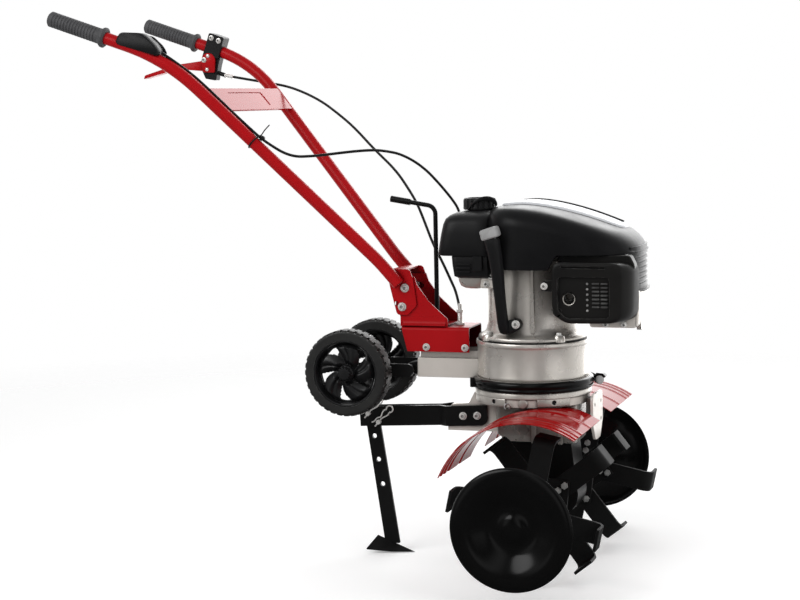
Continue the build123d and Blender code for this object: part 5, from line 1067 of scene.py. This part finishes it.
guard_lug = slab("guard_lug", [(6, 448), (8, 467), (38, 472), (38, 444)], [6, 6, 3, 3], -160, -152, edge=1.5)
# Partly a heat shield, partly a black sheet that puts painted shade in the gap above the guard.
shade_filler_shield = slab("heat_shield_and_shade", [
    (34, 470), (36, 517), (186, 519), (196, 500), (196, 470),
], 5, -128, -98, edge=2)
dress(joined([guard_lug, shade_filler_shield], "guard_lug"), "chassis", "muffler_steel")
exhaust_flange = slab("exhaust_flange", [
    (96, 366), (92, 384), (96, 442), (190, 444), (199, 438), (197, 374), (191, 366),
], [5, 5, 6, 5, 6, 6, 5], -98, -66, edge=2.5)
carb_flange = slab("carburettor_flange", [
    (-142, 444), (-138, 476), (-112, 480), (-104, 462), (-112, 444),
], 6, -92, -60, edge=2)
dress(joined([exhaust_flange, carb_flange], "engine_flanges"), "chassis", "cast_alloy", look="beam_alloy")
guard_bolts = [bolt_head("guard_bolt", (14, -160, 457), radius=5.5)]
for place in ((129, -98, 373), (167, -98, 373), (-117, -92, 469), (-128, -92, 453)):
    guard_bolts.append(bolt_head("flange_bolt", place, radius=5.0))
dress(joined(guard_bolts, "engine_bolts"), "chassis", "zinc")

# %% [markdown]
# Between the engine and the gearbox stands a smooth drum with a turned rim. A dark gasket lies on it under
# the flared foot of the crankcase. All are turned shapes: a small outline taken round the upright axis.

# %% Drum and crankcase
ENGINE_X = -52
FLANGE_Z = 331
CASE_PROFILE = (
    (60, FLANGE_Z), (114.6, FLANGE_Z), (115.6, 332), (115.6, 337), (114, 339.5), (107, 342), (101.5, 346),
    (98, 352), (96.4, 360), (95.8, 370), (95.8, 500), (94, 506), (60, 508),
)


def engine_circle(radius, height):
    """A level circle round the engine's upright axis."""
    return circle((ENGINE_X, 0, height), (radius, 0, 0), (0, radius, 0), 120)


def hoop(name, profile):
    """A closed ring round the engine's upright axis, from (radius, height) pairs."""
    return skin(name, [engine_circle(*pair) for pair in (*profile, profile[0])], start=False, end=False)


drum = hoop("clutch_drum", [
    (110, 250), (118.8, 250), (119.6, 252), (119.6, 256), (118.8, 258), (118.8, 317), (119.4, 319),
    (121, 320), (121.6, 322), (121.6, 327), (120.6, 329), (110, 329),
])
dress(drum, "chassis", "cast_alloy", "clutch_housing", angle=50)
gasket = hoop("flange_gasket", [(110, 327.5), (117.4, 327.5), (117.4, 331.5), (110, 331.5)])
dress(gasket, "chassis", "black_plastic")
crankcase = skin("crankcase_casting", [engine_circle(*pair) for pair in CASE_PROFILE])
dress(crankcase, "chassis", "cast_alloy", "crankcase", angle=50)

# %% [markdown]
# A glossy clamp ring closes round the drum's foot, with a hinge barrel behind and a latch in front. The hook
# swings on the ring's ear. The bracket and the knob that it catches stay with the ring.

# %% Clamp ring and latch
LATCH_HINGE = Vector((83.8, 29.5, 0))
LATCH_WAY = Vector((-0.438, 0.899, 0))
LATCH_OUT = Vector((0.899, 0.438, 0))
band = hoop("clamp_band", [
    (123, 226), (127.5, 226), (129.6, 227), (130.6, 229.5), (130, 232.5), (128.8, 234), (130.2, 236.5),
    (131.4, 240), (131, 244), (129.2, 247), (126, 248.8), (122.6, 248.8),
])
barrel = turned("hinge_barrel", (-170.5, -57.8, 227), (0, 0, 1), [(0, 5), (1, 6.4), (20, 6.4), (21, 5)])
ear_foot = LATCH_HINGE + Vector((0, 0, 231))
ear = turned("latch_ear", ear_foot, (0, 0, 1), [(0, 5.2), (1, 6.2), (11, 6.2), (12, 5.2)])
dress(joined([band, barrel, ear], "clamp_band"), "chassis", "ring_paint", "clamp_ring", angle=50)

latch_section = rounded([(-1, 227.5), (4, 227.5), (4, 246.5), (-1, 246.5)], 2, 4)
hook = skin("latch_hook", [
    [LATCH_HINGE + LATCH_WAY * along + LATCH_OUT * (p.x - sink) + Vector((0, 0, p.y)) for p in latch_section]
    for along, sink in ((2, 0), (14, -1), (30, 0), (42, 1), (52, 4))
])
dress(hook, "latch", "ring_paint", "clamp_latch", angle=50)
bracket = slab("latch_bracket", [
    (79, 240), (81, 253), (96, 252), (103, 246), (97, 240),
], 3, 20, 40, edge=1.5)
dress(bracket, "chassis", "ring_paint")
knob = turned("latch_knob", (88.9, 23.1, 238.5), (0.3, -0.954, 0), [
    (0, 6.5), (1, 9), (8, 9), (10, 7.5), (10.6, 4),
])
dress(knob, "chassis", "grey_plastic", angle=50)

# %% [markdown]
# The castings carry small features that catch the light: a seam rib and bolt bosses on the crankcase, a rim
# and two drilled pads on the gearbox neck, and the neck's own body below. Black discs deep in the pads' holes
# are painted shade. A pad is an arc: a rounded section that is carried a little way round the axis.

# %% Casting details
def arc_block(name, section, first, last, steps=10):
    """A rounded (radius, height) section carried from one angle to another, in degrees."""
    rings = []
    for step in range(steps + 1):
        turn = math.radians(first + (last - first) * step / steps)
        rings.append([(ENGINE_X + p.x * math.cos(turn), p.x * math.sin(turn), p.y) for p in section])
    return skin(name, rings)


PAD_SECTION = rounded([(116, 197), (125.8, 197), (125.8, 213), (116, 213)], 2, 4)
HOLE_R = 5.0
pads = [arc_block("neck_pad", PAD_SECTION, first, last) for first, last in ((-152, -104), (-72, -38))]
# Black discs set in the drilled holes are painted shade: they darken holes through which the pale neck would show.
hole_shades = []
for pad, turn in zip(pads, (-117.5, -55.5)):
    away = Vector((math.cos(math.radians(turn)), math.sin(math.radians(turn)), 0))
    drill_from = Vector((ENGINE_X, 0, 206)) + away * 112
    cut(pad, turned("drill", drill_from, away, [(0, HOLE_R), (30, HOLE_R)], 20))
    hole_shades.append(turned("painted_hole_shade", drill_from, away, [(9, HOLE_R), (11.4, HOLE_R)], 20))
dress(joined(hole_shades, "pad_hole_shades"), "chassis", "black_plastic")
neck_rim = hoop("neck_rim", [
    (118, 212.5), (124.6, 212.5), (125.8, 214), (125.8, 223), (124.6, 225), (118, 225),
])
neck_rings = []
for height, rear, front, half in (
    (110, -100, 50, 48), (114, -106, 53, 52), (126, -121, 56, 55), (190, -124, 58, 56), (197, -124, 58, 56),
):
    corners = [(rear, -half), (front, -half), (front, half), (rear, half)]
    neck_rings.append([(p.x, p.y, height) for p in rounded(corners, 12)])
neck_body = skin("neck_body", neck_rings)
neck_ribs = []
for x in (-38, 20):
    rib = [(x - 5, 108), (x - 7, 196), (x + 7, 196), (x + 5, 108)]
    for side in (-1, 1):
        neck_ribs.append(slab("neck_rib", rib, 3, side * 58.5, side * 50, edge=1.5))
neck_boss = turned("neck_boss", (-44, -106, 204), (0, -1, 0), [(0, 11), (16, 11), (18.5, 9), (19, 6)])
seam = slab("case_seam", [(-31, 350), (-30, 486), (-24, 486), (-23, 350)], 2, -99, -86, edge=1.2)
BOSSES = [(ENGINE_X + x, y) for x in (-76, 76) for y in (-76, 76)]
BOSS_PROFILE = [(0, 14), (9, 13), (13, 11), (13.5, 8)]
bosses = [turned("flange_boss", (x, y, FLANGE_Z), (0, 0, 1), BOSS_PROFILE) for x, y in BOSSES]
details = joined([*pads, neck_rim, neck_body, *neck_ribs, neck_boss, seam, *bosses], "casting_details")
dress(details, "chassis", "cast_alloy")
curl_turns = [math.radians(degrees) for degrees in range(-60, 250, 20)]
curl_line = [(-76 + 6 * math.cos(turn), -127 - turn, 199 + 6 * math.sin(turn)) for turn in curl_turns]
curl = rod("spring_curl", curl_line, 1.3)
dress(curl, "chassis", "drive_steel")

# %% [markdown]
# The base is a folded channel over a cast beam. The channel's upper edges are bent with a soft radius,
# which shows as a bright line, and the bracket above it stands on two flared feet.

# %% Beam and channel
CHANNEL_HALF, CHANNEL_WALL, CHANNEL_FOOT, CHANNEL_TOP, CHANNEL_BEND = 50, 3, 300, 354, 8


def channel_section(half, top, bend, steps=6):
    """An inverted U from its right foot over the top to its left foot, as (left, up) pairs."""
    turns = [math.pi / 2 * step / steps for step in range(steps + 1)]
    side = [(half - bend + bend * math.cos(turn), top - bend + bend * math.sin(turn)) for turn in turns]
    return [(-half, CHANNEL_FOOT)] + [(-y, z) for y, z in side] + side[::-1] + [(half, CHANNEL_FOOT)]


channel_outside = (CHANNEL_HALF, CHANNEL_TOP, CHANNEL_BEND)
section = channel_section(*channel_outside)
section += channel_section(*(size - CHANNEL_WALL for size in channel_outside))[::-1]
channel = skin("folded_channel", [
    [(-320 - 0.25 * (z - CHANNEL_FOOT), y, z) for y, z in section],
    [(-180, y, z) for y, z in section],
])
dress(channel, "chassis", "red_paint", "base_channel", angle=50)
BRACKET_FOOT = (
    (42, 376), (45.2, 376), (45.6, 367), (46.6, 362), (48.4, 359.5), (50, 358.8), (50, 356.4), (46, 356),
    (42, 354.2),
)
for side_name, side in SIDES:
    foot_rings = [[(x, side * y, z) for y, z in BRACKET_FOOT] for x in (-331, -233)]
    flare = skin(side_name + "_bracket_foot", foot_rings)
    dress(flare, "chassis", "red_paint", angle=50)

beam_bar = slab("beam_bar", [(-302, 243), (-300, 286), (-158, 286), (-158, 243)], 4, -41, 41, edge=2.5)
beam_ledge = slab("beam_ledge", [(-296, 284), (-294, 302), (-160, 302), (-160, 284)], 3, -35, 35, edge=2)
beam_core = slab("beam_core", [(-306, 300), (-312, 349), (-206, 349), (-206, 300)], 4, -41, 41, edge=2)
beam = joined([beam_bar, beam_ledge, beam_core], "beam_casting")
dress(beam, "chassis", "cast_alloy", "main_beam", look="beam_alloy")
pivot_lug = slab("pivot_lug", [
    (-336, 248), (-336, 268), (-298, 276), (-298, 244),
], [9, 9, 3, 3], -20, 20, edge=2)
dress(pivot_lug, "chassis", "black_steel")

# %% [markdown]
# Bolts are small, but their bright heads draw the eye. Each has a flange, six flats and a sunk middle.
# Those on the frame are one piece, and those on the handlebar another, because the handlebar tilts.

# %% Fasteners
frame_bolts = [bolt_head("boss_bolt", (x, y, 344), (0, 0, 1), 6.0) for x, y in BOSSES]
for side in (-1, 1):
    outwards = (0, side, 0)
    for x in (-276.4, -189.3):
        frame_bolts.append(bolt_head("base_bolt", (x, side * CHANNEL_HALF, 310), outwards))
    for x, z in ((-202, 158), (-170, 159.5)):
        frame_bolts.append(bolt_head("bar_bolt", (x, side * 30, z), outwards, 6.4))
    for x in (-28, 22):
        frame_bolts.append(bolt_head("guard_bolt", (x, side * 82, 194), (0, 0, 1), 5.5))
dress(joined(frame_bolts, "frame_fasteners"), "chassis", "zinc", "frame_bolts")

HANDLE_BOLTS = (
    (-323, 438, -49, 49, 7.0), (-330, 397, -49, 49, 7.0), (-901.2, 947.8, 217.5, 254, 4.6),
    (-881.3, 999, 219, 253, 4.6), (-862.8, 991.7, 219, 253, 4.6),
)
handle_bolts = []
for x, z, right_face, left_face, radius in HANDLE_BOLTS:
    shank = [(0, 0.7 * radius), (left_face - right_face, 0.7 * radius)]
    handle_bolts += [
        bolt_head("bolt_head", (x, right_face, z), (0, -1, 0), radius),
        bolt_head("bolt_nut", (x, left_face, z), (0, 1, 0), radius),
        turned("bolt_shank", (x, right_face, z), (0, 1, 0), shank, 20),
    ]
dress(joined(handle_bolts, "handle_fasteners"), "handlebar", "zinc", "handlebar_bolts")

# %% [markdown]
# The side discs are glossy dished plates: a rounded rim, a flat border and a smooth hollow with a low boss.
# The mudguards are thin arched sheets with pressed ribs along the arch.

# %% Side discs and mudguards
DISC_PROFILE = (
    (390.6, 2), (390.2, 14), (389, 20), (387, 24), (384.8, 28), (383.4, 34), (383.2, 40), (383.6, 46),
    (384.8, 51), (387, 56), (389.8, 61), (392.7, 66), (395.6, 71), (398.4, 76), (401.2, 81),
    (403.6, 86), (405.4, 91), (406.4, 96), (406.6, 110), (406, 116), (404.4, 121), (402, 124),
    (400, 125), (398.6, 124), (401, 119), (403.4, 112), (403.2, 96), (398, 81), (392.4, 71),
    (386.6, 61), (381.6, 51), (380, 40), (381, 28), (385, 20), (387, 10),
)
GUARD_R, GUARD_ENDS, GUARD_SIDES, SHEET = 195, (57, 157), (58, 300), 1.6
RIBS, RIB_RISE, RIB_WIDTH = (286, 262, 232, 150), 2.4, 4.5
ACROSS_STEPS, ROUND_STEPS = 60, 40


def rib_height(left):
    """Height of the pressed ribs at a distance from the machine's middle."""
    return sum(RIB_RISE * math.exp(-((left - rib) / RIB_WIDTH) ** 2) for rib in RIBS)


def steps_between(ends, steps):
    """Evenly spaced numbers from one end to the other."""
    return [ends[0] + (ends[1] - ends[0]) * step / steps for step in range(steps + 1)]


for side_name, side in SIDES:
    disc = turned(side_name + "_dish", (0, 0, 0), (0, side, 0), DISC_PROFILE, 128)
    dress(disc, "tines", "tine_steel", side_name + "_disc", angle=60, look="disc_enamel")
    outline = [(left, GUARD_R + rib_height(left)) for left in steps_between(GUARD_SIDES, ACROSS_STEPS)]
    outline += [(left, radius - SHEET) for left, radius in reversed(outline)]
    sheet_rings = []
    for degrees in steps_between(GUARD_ENDS, ROUND_STEPS):
        turn = math.radians(degrees)
        sheet_rings.append([(r * math.cos(turn), side * left, r * math.sin(turn)) for left, r in outline])
    sheet = skin(side_name + "_guard_sheet", sheet_rings)
    dress(sheet, "chassis", "red_paint", side_name + "_mudguard", angle=50, look="guard_enamel")

# %% [markdown]
# The depth stake is a drilled flat bar that leans back, with a small folded share welded on its foot. The
# bar is a slab with its holes cut, and the share is two thin triangles that meet in a ridge.

# %% Depth stake
STAKE_HOLES = ((-416.2, 101.4), (-408, 48.6), (-399.3, -6.6))
STAKE_HALF, STAKE_HOLE_R, SHARE_T = 3.5, 5.4, 3.0
stake = slab("stake_bar", [
    (-440.5, 171), (-408, 171), (-362, -140), (-396, -140),
], 2, -STAKE_HALF, STAKE_HALF, edge=0.8)
for x, z in STAKE_HOLES:
    cut(stake, turned("stake_drill", (x, -20, z), (0, 1, 0), [(0, STAKE_HOLE_R), (40, STAKE_HOLE_R)], 28))
ridge_rear, ridge_tip = Vector((-414, 0, -124)), Vector((-327, 0, -158))
wings = []
for side in (-1, 1):
    wing = [ridge_rear, Vector((-428, side * 40, -146)), Vector((-376, side * 20, -153)), ridge_tip]
    under = [point - Vector((0, 0, SHARE_T)) for point in wing[:3]] + [ridge_tip]
    wings.append(skin("share_wing", [wing, under]))
dress(joined([stake, *wings], "stake_and_share"), "chassis", "black_steel", "drag_stake")

# %% [markdown]
# The stake's two pins are kept by spring clips. Each clip is one bent wire: a straight leg, a round head and
# a wavy leg that grips the pin.

# %% Spring clips
CLIP_ALONG = Vector((0.7071, 0, 0.7071))
CLIP_ACROSS = Vector((-0.7071, 0, 0.7071))
CLIP_PINS = {"stake": (-424, -17.5, 155), "stop": (-400, -17.5, 137)}
HEAD_R, WIRE_R = 7.5, 1.6
head_turns = [math.radians(degrees) for degrees in range(-145, 150, 18)]
CLIP_WIRE = [
    (-15, -1.5), (0, 0), (10, 0.5), (20, -3), (27, -4.5),
    *((38 + HEAD_R * math.cos(turn), 2 + HEAD_R * math.sin(turn)) for turn in head_turns),
    (26, 10), (17, 7), (10, 3.5), (5, 7.5), (-1, 8.6), (-7, 7), (-14, 10),
]
for name, pin in CLIP_PINS.items():
    wire = [Vector(pin) + CLIP_ALONG * along + CLIP_ACROSS * across for along, across in CLIP_WIRE]
    clip = round_tube(line_curve(name + "_wire", wire), WIRE_R, 3)
    dress(clip, name + "_clip", "zinc", name + "_clip", angle=60)

# %% [markdown]
# The transport wheels are moulded in one piece. Each of their five swept vanes has a small window beside it,
# so the face is a polar net: rings from the hub to the rim, lifted into rounded vanes by a formula.

# %% Vanes and windows
WHEEL_MIDDLE = (-438.6, 258.0)
VANE_PITCH = 360 / 5
TURN_STEPS = 180
WINDOW = (30, 59)
WINDOW_SWEEP, WINDOW_OPENING = 8, 24
VANE_START, VANE_LEAN, VANE_RISE, VANE_POWER = 104, 2.4, 13, 1.2
GROOVE_SHARE, GROOVE_PLACE, GROOVE_WIDTH = 0.35, 0.62, 0.07
WEB_ENDS, WEB_EASE = (16, 66), (12, 10)


def vane_sweep(radius):
    """How far, in degrees, a window's leading edge has swept at a radius."""
    return WINDOW_SWEEP * (radius - WINDOW[0]) / (WINDOW[1] - WINDOW[0])


def vane_height(radius, degrees):
    """Height of the rounded vanes over the wheel's web."""
    swept = (degrees - VANE_START - VANE_LEAN * vane_sweep(radius)) % VANE_PITCH / VANE_PITCH
    inner, outer = (radius - WEB_ENDS[0]) / WEB_EASE[0], (WEB_ENDS[1] - radius) / WEB_EASE[1]
    rise = min(1.0, max(0.0, inner)) * min(1.0, max(0.0, outer))
    ridge = math.sin(math.pi * swept) ** VANE_POWER
    groove = GROOVE_SHARE * math.exp(-((swept - GROOVE_PLACE) / GROOVE_WIDTH) ** 2)
    return VANE_RISE * rise * (ridge - groove)


def wheel_ring(side, radius, out, relief=0.0):
    """A ring on a wheel. `out` is the distance outwards from the machine's middle."""
    points = []
    for index in range(TURN_STEPS):
        degrees = 360 * index / TURN_STEPS
        turn = math.radians(degrees)
        far = out + relief * vane_height(radius, degrees)
        x, z = radius * math.cos(turn), radius * math.sin(turn)
        points.append((WHEEL_MIDDLE[0] + x, side * far, WHEEL_MIDDLE[1] + z))
    return points


def in_window(place):
    """True for a point in one of the windows between the vanes."""
    local = place - tine_axis
    ahead, upward = local.x * 1000 - WHEEL_MIDDLE[0], local.z * 1000 - WHEEL_MIDDLE[1]
    radius = math.hypot(ahead, upward)
    if not WINDOW[0] < radius < WINDOW[1]:
        return False
    past = (math.degrees(math.atan2(upward, ahead)) - VANE_START - vane_sweep(radius)) % VANE_PITCH
    return past < WINDOW_OPENING * (radius - WINDOW[0]) / (WINDOW[1] - WINDOW[0])


print("wheel windows from", WINDOW[0], "to", WINDOW[1], "mm out")

# %% [markdown]
# The rings of the web come first, and those of the rim follow. The faces in the windows are selected by
# their place and deleted, and only then does Solidify give the wall its thickness. A ribbed cap closes the
# hub.

# %% Wheels
WEB_OUT, WEB_WALL_M = 111, 0.004
RIM_RINGS = ((66, 111.5), (67, 122), (68.5, 124.5), (71, 125), (72, 124), (72, 84), (71, 82))
HUB_RINGS = (
    (17, 0.1, 82), (18.5, 0.1, 84), (18.5, 0.1, 120), (17.5, 0.1, 123), (16.5, 0.1, 123.5), (16, 1.6, 124.5),
    (15, 2.6, 130), (13, 2.0, 132.5), (6, 0.1, 133),
)

for side_name, side in SIDES:
    rings = [wheel_ring(side, radius, WEB_OUT, 1.0) for radius in range(*WEB_ENDS, 2)]
    rings += [wheel_ring(side, radius, out) for radius, out in RIM_RINGS]
    face = skin(side_name + "_wheel_face", rings, start=False, end=False)
    bpy.ops.object.mode_set(mode="EDIT")
    bpy.ops.mesh.select_mode(type="FACE")
    bpy.ops.mesh.select_all(action="DESELECT")
    mesh = bmesh.from_edit_mesh(face.data)
    for polygon in mesh.faces:
        polygon.select = in_window(polygon.calc_center_median()) and abs(polygon.normal.y) > 0.2
    bpy.ops.mesh.delete(type="FACE")
    bpy.ops.mesh.select_mode(type="VERT")
    bpy.ops.object.mode_set(mode="OBJECT")
    applied(face, "SOLIDIFY", thickness=WEB_WALL_M, offset=-1.0)
    hub = [ribbed((0, 0), *layer, ribs=12, count=96) for layer in HUB_RINGS]
    cap = skin(side_name + "_hub_cap", [
        [(WHEEL_MIDDLE[0] + x, side * out, WHEEL_MIDDLE[1] + y) for x, y, out in ring] for ring in hub
    ])
    wheel = joined([face, cap], side_name + "_wheel_moulding")
    dress(wheel, side_name + "_wheel", "wheel_plastic", side_name + "_wheel_rim", angle=45)

# %% [markdown]
# The studio has a pale floor. It fades out well away from the machine and is clear from below, so that no
# edge shows and nothing is hidden from any side. To the camera it is lifted a little towards white. Glossy
# paint mirrors a darker floor on the camera's side, because dark paint looks grey over a white mirror.

# %% Floor
FLOOR_SIZE = 14.0
FLOOR_FADE = (1.3, 3.4)
FLOOR_ROUGHNESS = 0.9
FLOOR_LIFT = 0.25
FLOOR_DIM = (0.7, -0.1)
FLOOR_PALE = (0.86, 0.86, 0.86, 1)
FLOOR_MIRRORED = (0.1, 0.1, 0.1, 1)
WHITE = (1, 1, 1, 1)


def mix_shaders(tree, share, first, second):
    """A shader between two shader nodes."""
    node = tree.nodes.new("ShaderNodeMixShader")
    tree.links.new(share, node.inputs["Fac"])
    tree.links.new(first.outputs[0], node.inputs[1])
    tree.links.new(second.outputs[0], node.inputs[2])
    return node.outputs[0]


nothing_selected()
bpy.ops.mesh.primitive_plane_add(size=FLOOR_SIZE, location=(0, 0, 0))
floor = bpy.context.object
floor.name = "studio_floor"

floor_paper = bpy.data.materials.new("pale_paper")
floor_paper.use_nodes = True
tree = floor_paper.node_tree
paper = tree.nodes["Principled BSDF"]
paper.inputs["Roughness"].default_value = FLOOR_ROUGHNESS
paper.inputs["Emission Color"].default_value = WHITE
rays = tree.nodes.new("ShaderNodeLightPath")
place = tree.nodes.new("ShaderNodeTexCoord")
across_floor = tree.nodes.new("ShaderNodeSeparateXYZ")
tree.links.new(place.outputs["Object"], across_floor.inputs[0])
near_side = span(tree, across_floor.outputs["Y"], *FLOOR_DIM)
dimmed = combined(tree, "MULTIPLY", rays.outputs["Is Glossy Ray"], near_side)
tree.links.new(mix_colour(tree, dimmed, FLOOR_PALE, FLOOR_MIRRORED), paper.inputs["Base Color"])
lift = combined(tree, "MULTIPLY", rays.outputs["Is Camera Ray"], FLOOR_LIFT)
tree.links.new(lift, paper.inputs["Emission Strength"])
distance = tree.nodes.new("ShaderNodeVectorMath")
distance.operation = "LENGTH"
tree.links.new(place.outputs["Object"], distance.inputs[0])
far_off = span(tree, distance.outputs["Value"], *FLOOR_FADE)
underside = tree.nodes.new("ShaderNodeNewGeometry")
gone = combined(tree, "MAXIMUM", far_off, underside.outputs["Backfacing"])
faded = mix_shaders(tree, gone, paper, tree.nodes.new("ShaderNodeBsdfTransparent"))
tree.links.new(faded, tree.nodes["Material Output"].inputs["Surface"])
floor.data.materials.append(floor_paper)
print("floor fades from", FLOOR_FADE[0], "to", FLOOR_FADE[1], "m")

# %% [markdown]
# The sky lights the machine evenly, and to the camera it is plain white. Mirrors see a room instead: bright
# paper behind the machine, and on the camera's side a dim space with soft stripes. The stripes give dark
# paint and bare metal their long highlights.

# %% Sky
SKY_LIGHT = 0.5
ROOM_SPAN, ROOM_GLOW = (-0.6, 0.7), (0.06, 1.2)
BACKDROP_SPAN, BACKDROP_GLOW = (0.75, 0.95), (0.0, 2.2)
STRIPE_SPAN, STRIPE_GLOW = (0.1, -0.4), (0.0, 0.7)
STRIPE_SCALE, STRIPE_TURN = 0.45, 2.07

world = bpy.data.worlds.new("studio_sky")
bpy.context.scene.world = world
world.use_nodes = True
tree = world.node_tree
light_sky = tree.nodes["Background"]
light_sky.inputs["Color"].default_value = WHITE
light_sky.inputs["Strength"].default_value = SKY_LIGHT
seen_sky = tree.nodes.new("ShaderNodeBackground")
seen_sky.inputs["Color"].default_value = WHITE
rays = tree.nodes.new("ShaderNodeLightPath")
camera_ray = rays.outputs["Is Camera Ray"]
seen = combined(tree, "MAXIMUM", camera_ray, rays.outputs["Is Glossy Ray"])
seen = combined(tree, "MAXIMUM", seen, rays.outputs["Is Transmission Ray"])
aim = tree.nodes.new("ShaderNodeTexCoord")
split = tree.nodes.new("ShaderNodeSeparateXYZ")
tree.links.new(aim.outputs["Generated"], split.inputs[0])
away = split.outputs["Y"]

stripes = tree.nodes.new("ShaderNodeTexWave")
stripes.inputs["Scale"].default_value = STRIPE_SCALE
stripes.inputs["Phase Offset"].default_value = STRIPE_TURN
tree.links.new(aim.outputs["Generated"], stripes.inputs["Vector"])
striped = combined(tree, "MULTIPLY", stripes.outputs["Fac"], span(tree, away, *STRIPE_SPAN, *STRIPE_GLOW))
room = span(tree, away, *ROOM_SPAN, *ROOM_GLOW)
backdrop = span(tree, away, *BACKDROP_SPAN, *BACKDROP_GLOW)
mirrored = combined(tree, "ADD", combined(tree, "ADD", room, backdrop), striped)
unseen = combined(tree, "SUBTRACT", 1.0, camera_ray)
glow = combined(tree, "ADD", combined(tree, "MULTIPLY", mirrored, unseen), camera_ray)
tree.links.new(glow, seen_sky.inputs["Strength"])
sky = mix_shaders(tree, seen, light_sky, seen_sky)
tree.links.new(sky, tree.nodes["World Output"].inputs["Surface"])
print("sky light", SKY_LIGHT)

# %% [markdown]
# Three broad lamps model the shapes softly: a key lamp on the camera's side, a fill lamp at the front that
# glossy paint doesn't mirror, and a lamp behind the machine.

# %% Lamps
LAMP_SHAPE = 0.7


def softbox(name, place, target, width, watts):
    """A broad lamp that faces a point."""
    data = bpy.data.lights.new(name, "AREA")
    data.shape = "RECTANGLE"
    data.size = width
    data.size_y = width * LAMP_SHAPE
    data.energy = watts
    lamp = bpy.data.objects.new(name, data)
    bpy.context.scene.collection.objects.link(lamp)
    lamp.location = place
    lamp.rotation_euler = (Vector(target) - Vector(place)).to_track_quat("-Z", "Y").to_euler()
    return lamp


softbox("key_lamp", (-1.7, -2.6, 2.6), (0.1, 0, 0.5), 2.4, 60)
fill_lamp = softbox("fill_lamp", (2.8, -1.2, 1.3), (0.3, 0, 0.4), 1.8, 40)
fill_lamp.visible_glossy = False
softbox("back_lamp", (0.6, 2.6, 2.4), (0.1, 0, 0.5), 2.6, 40)
bpy.context.scene.view_settings.view_transform = "Standard"
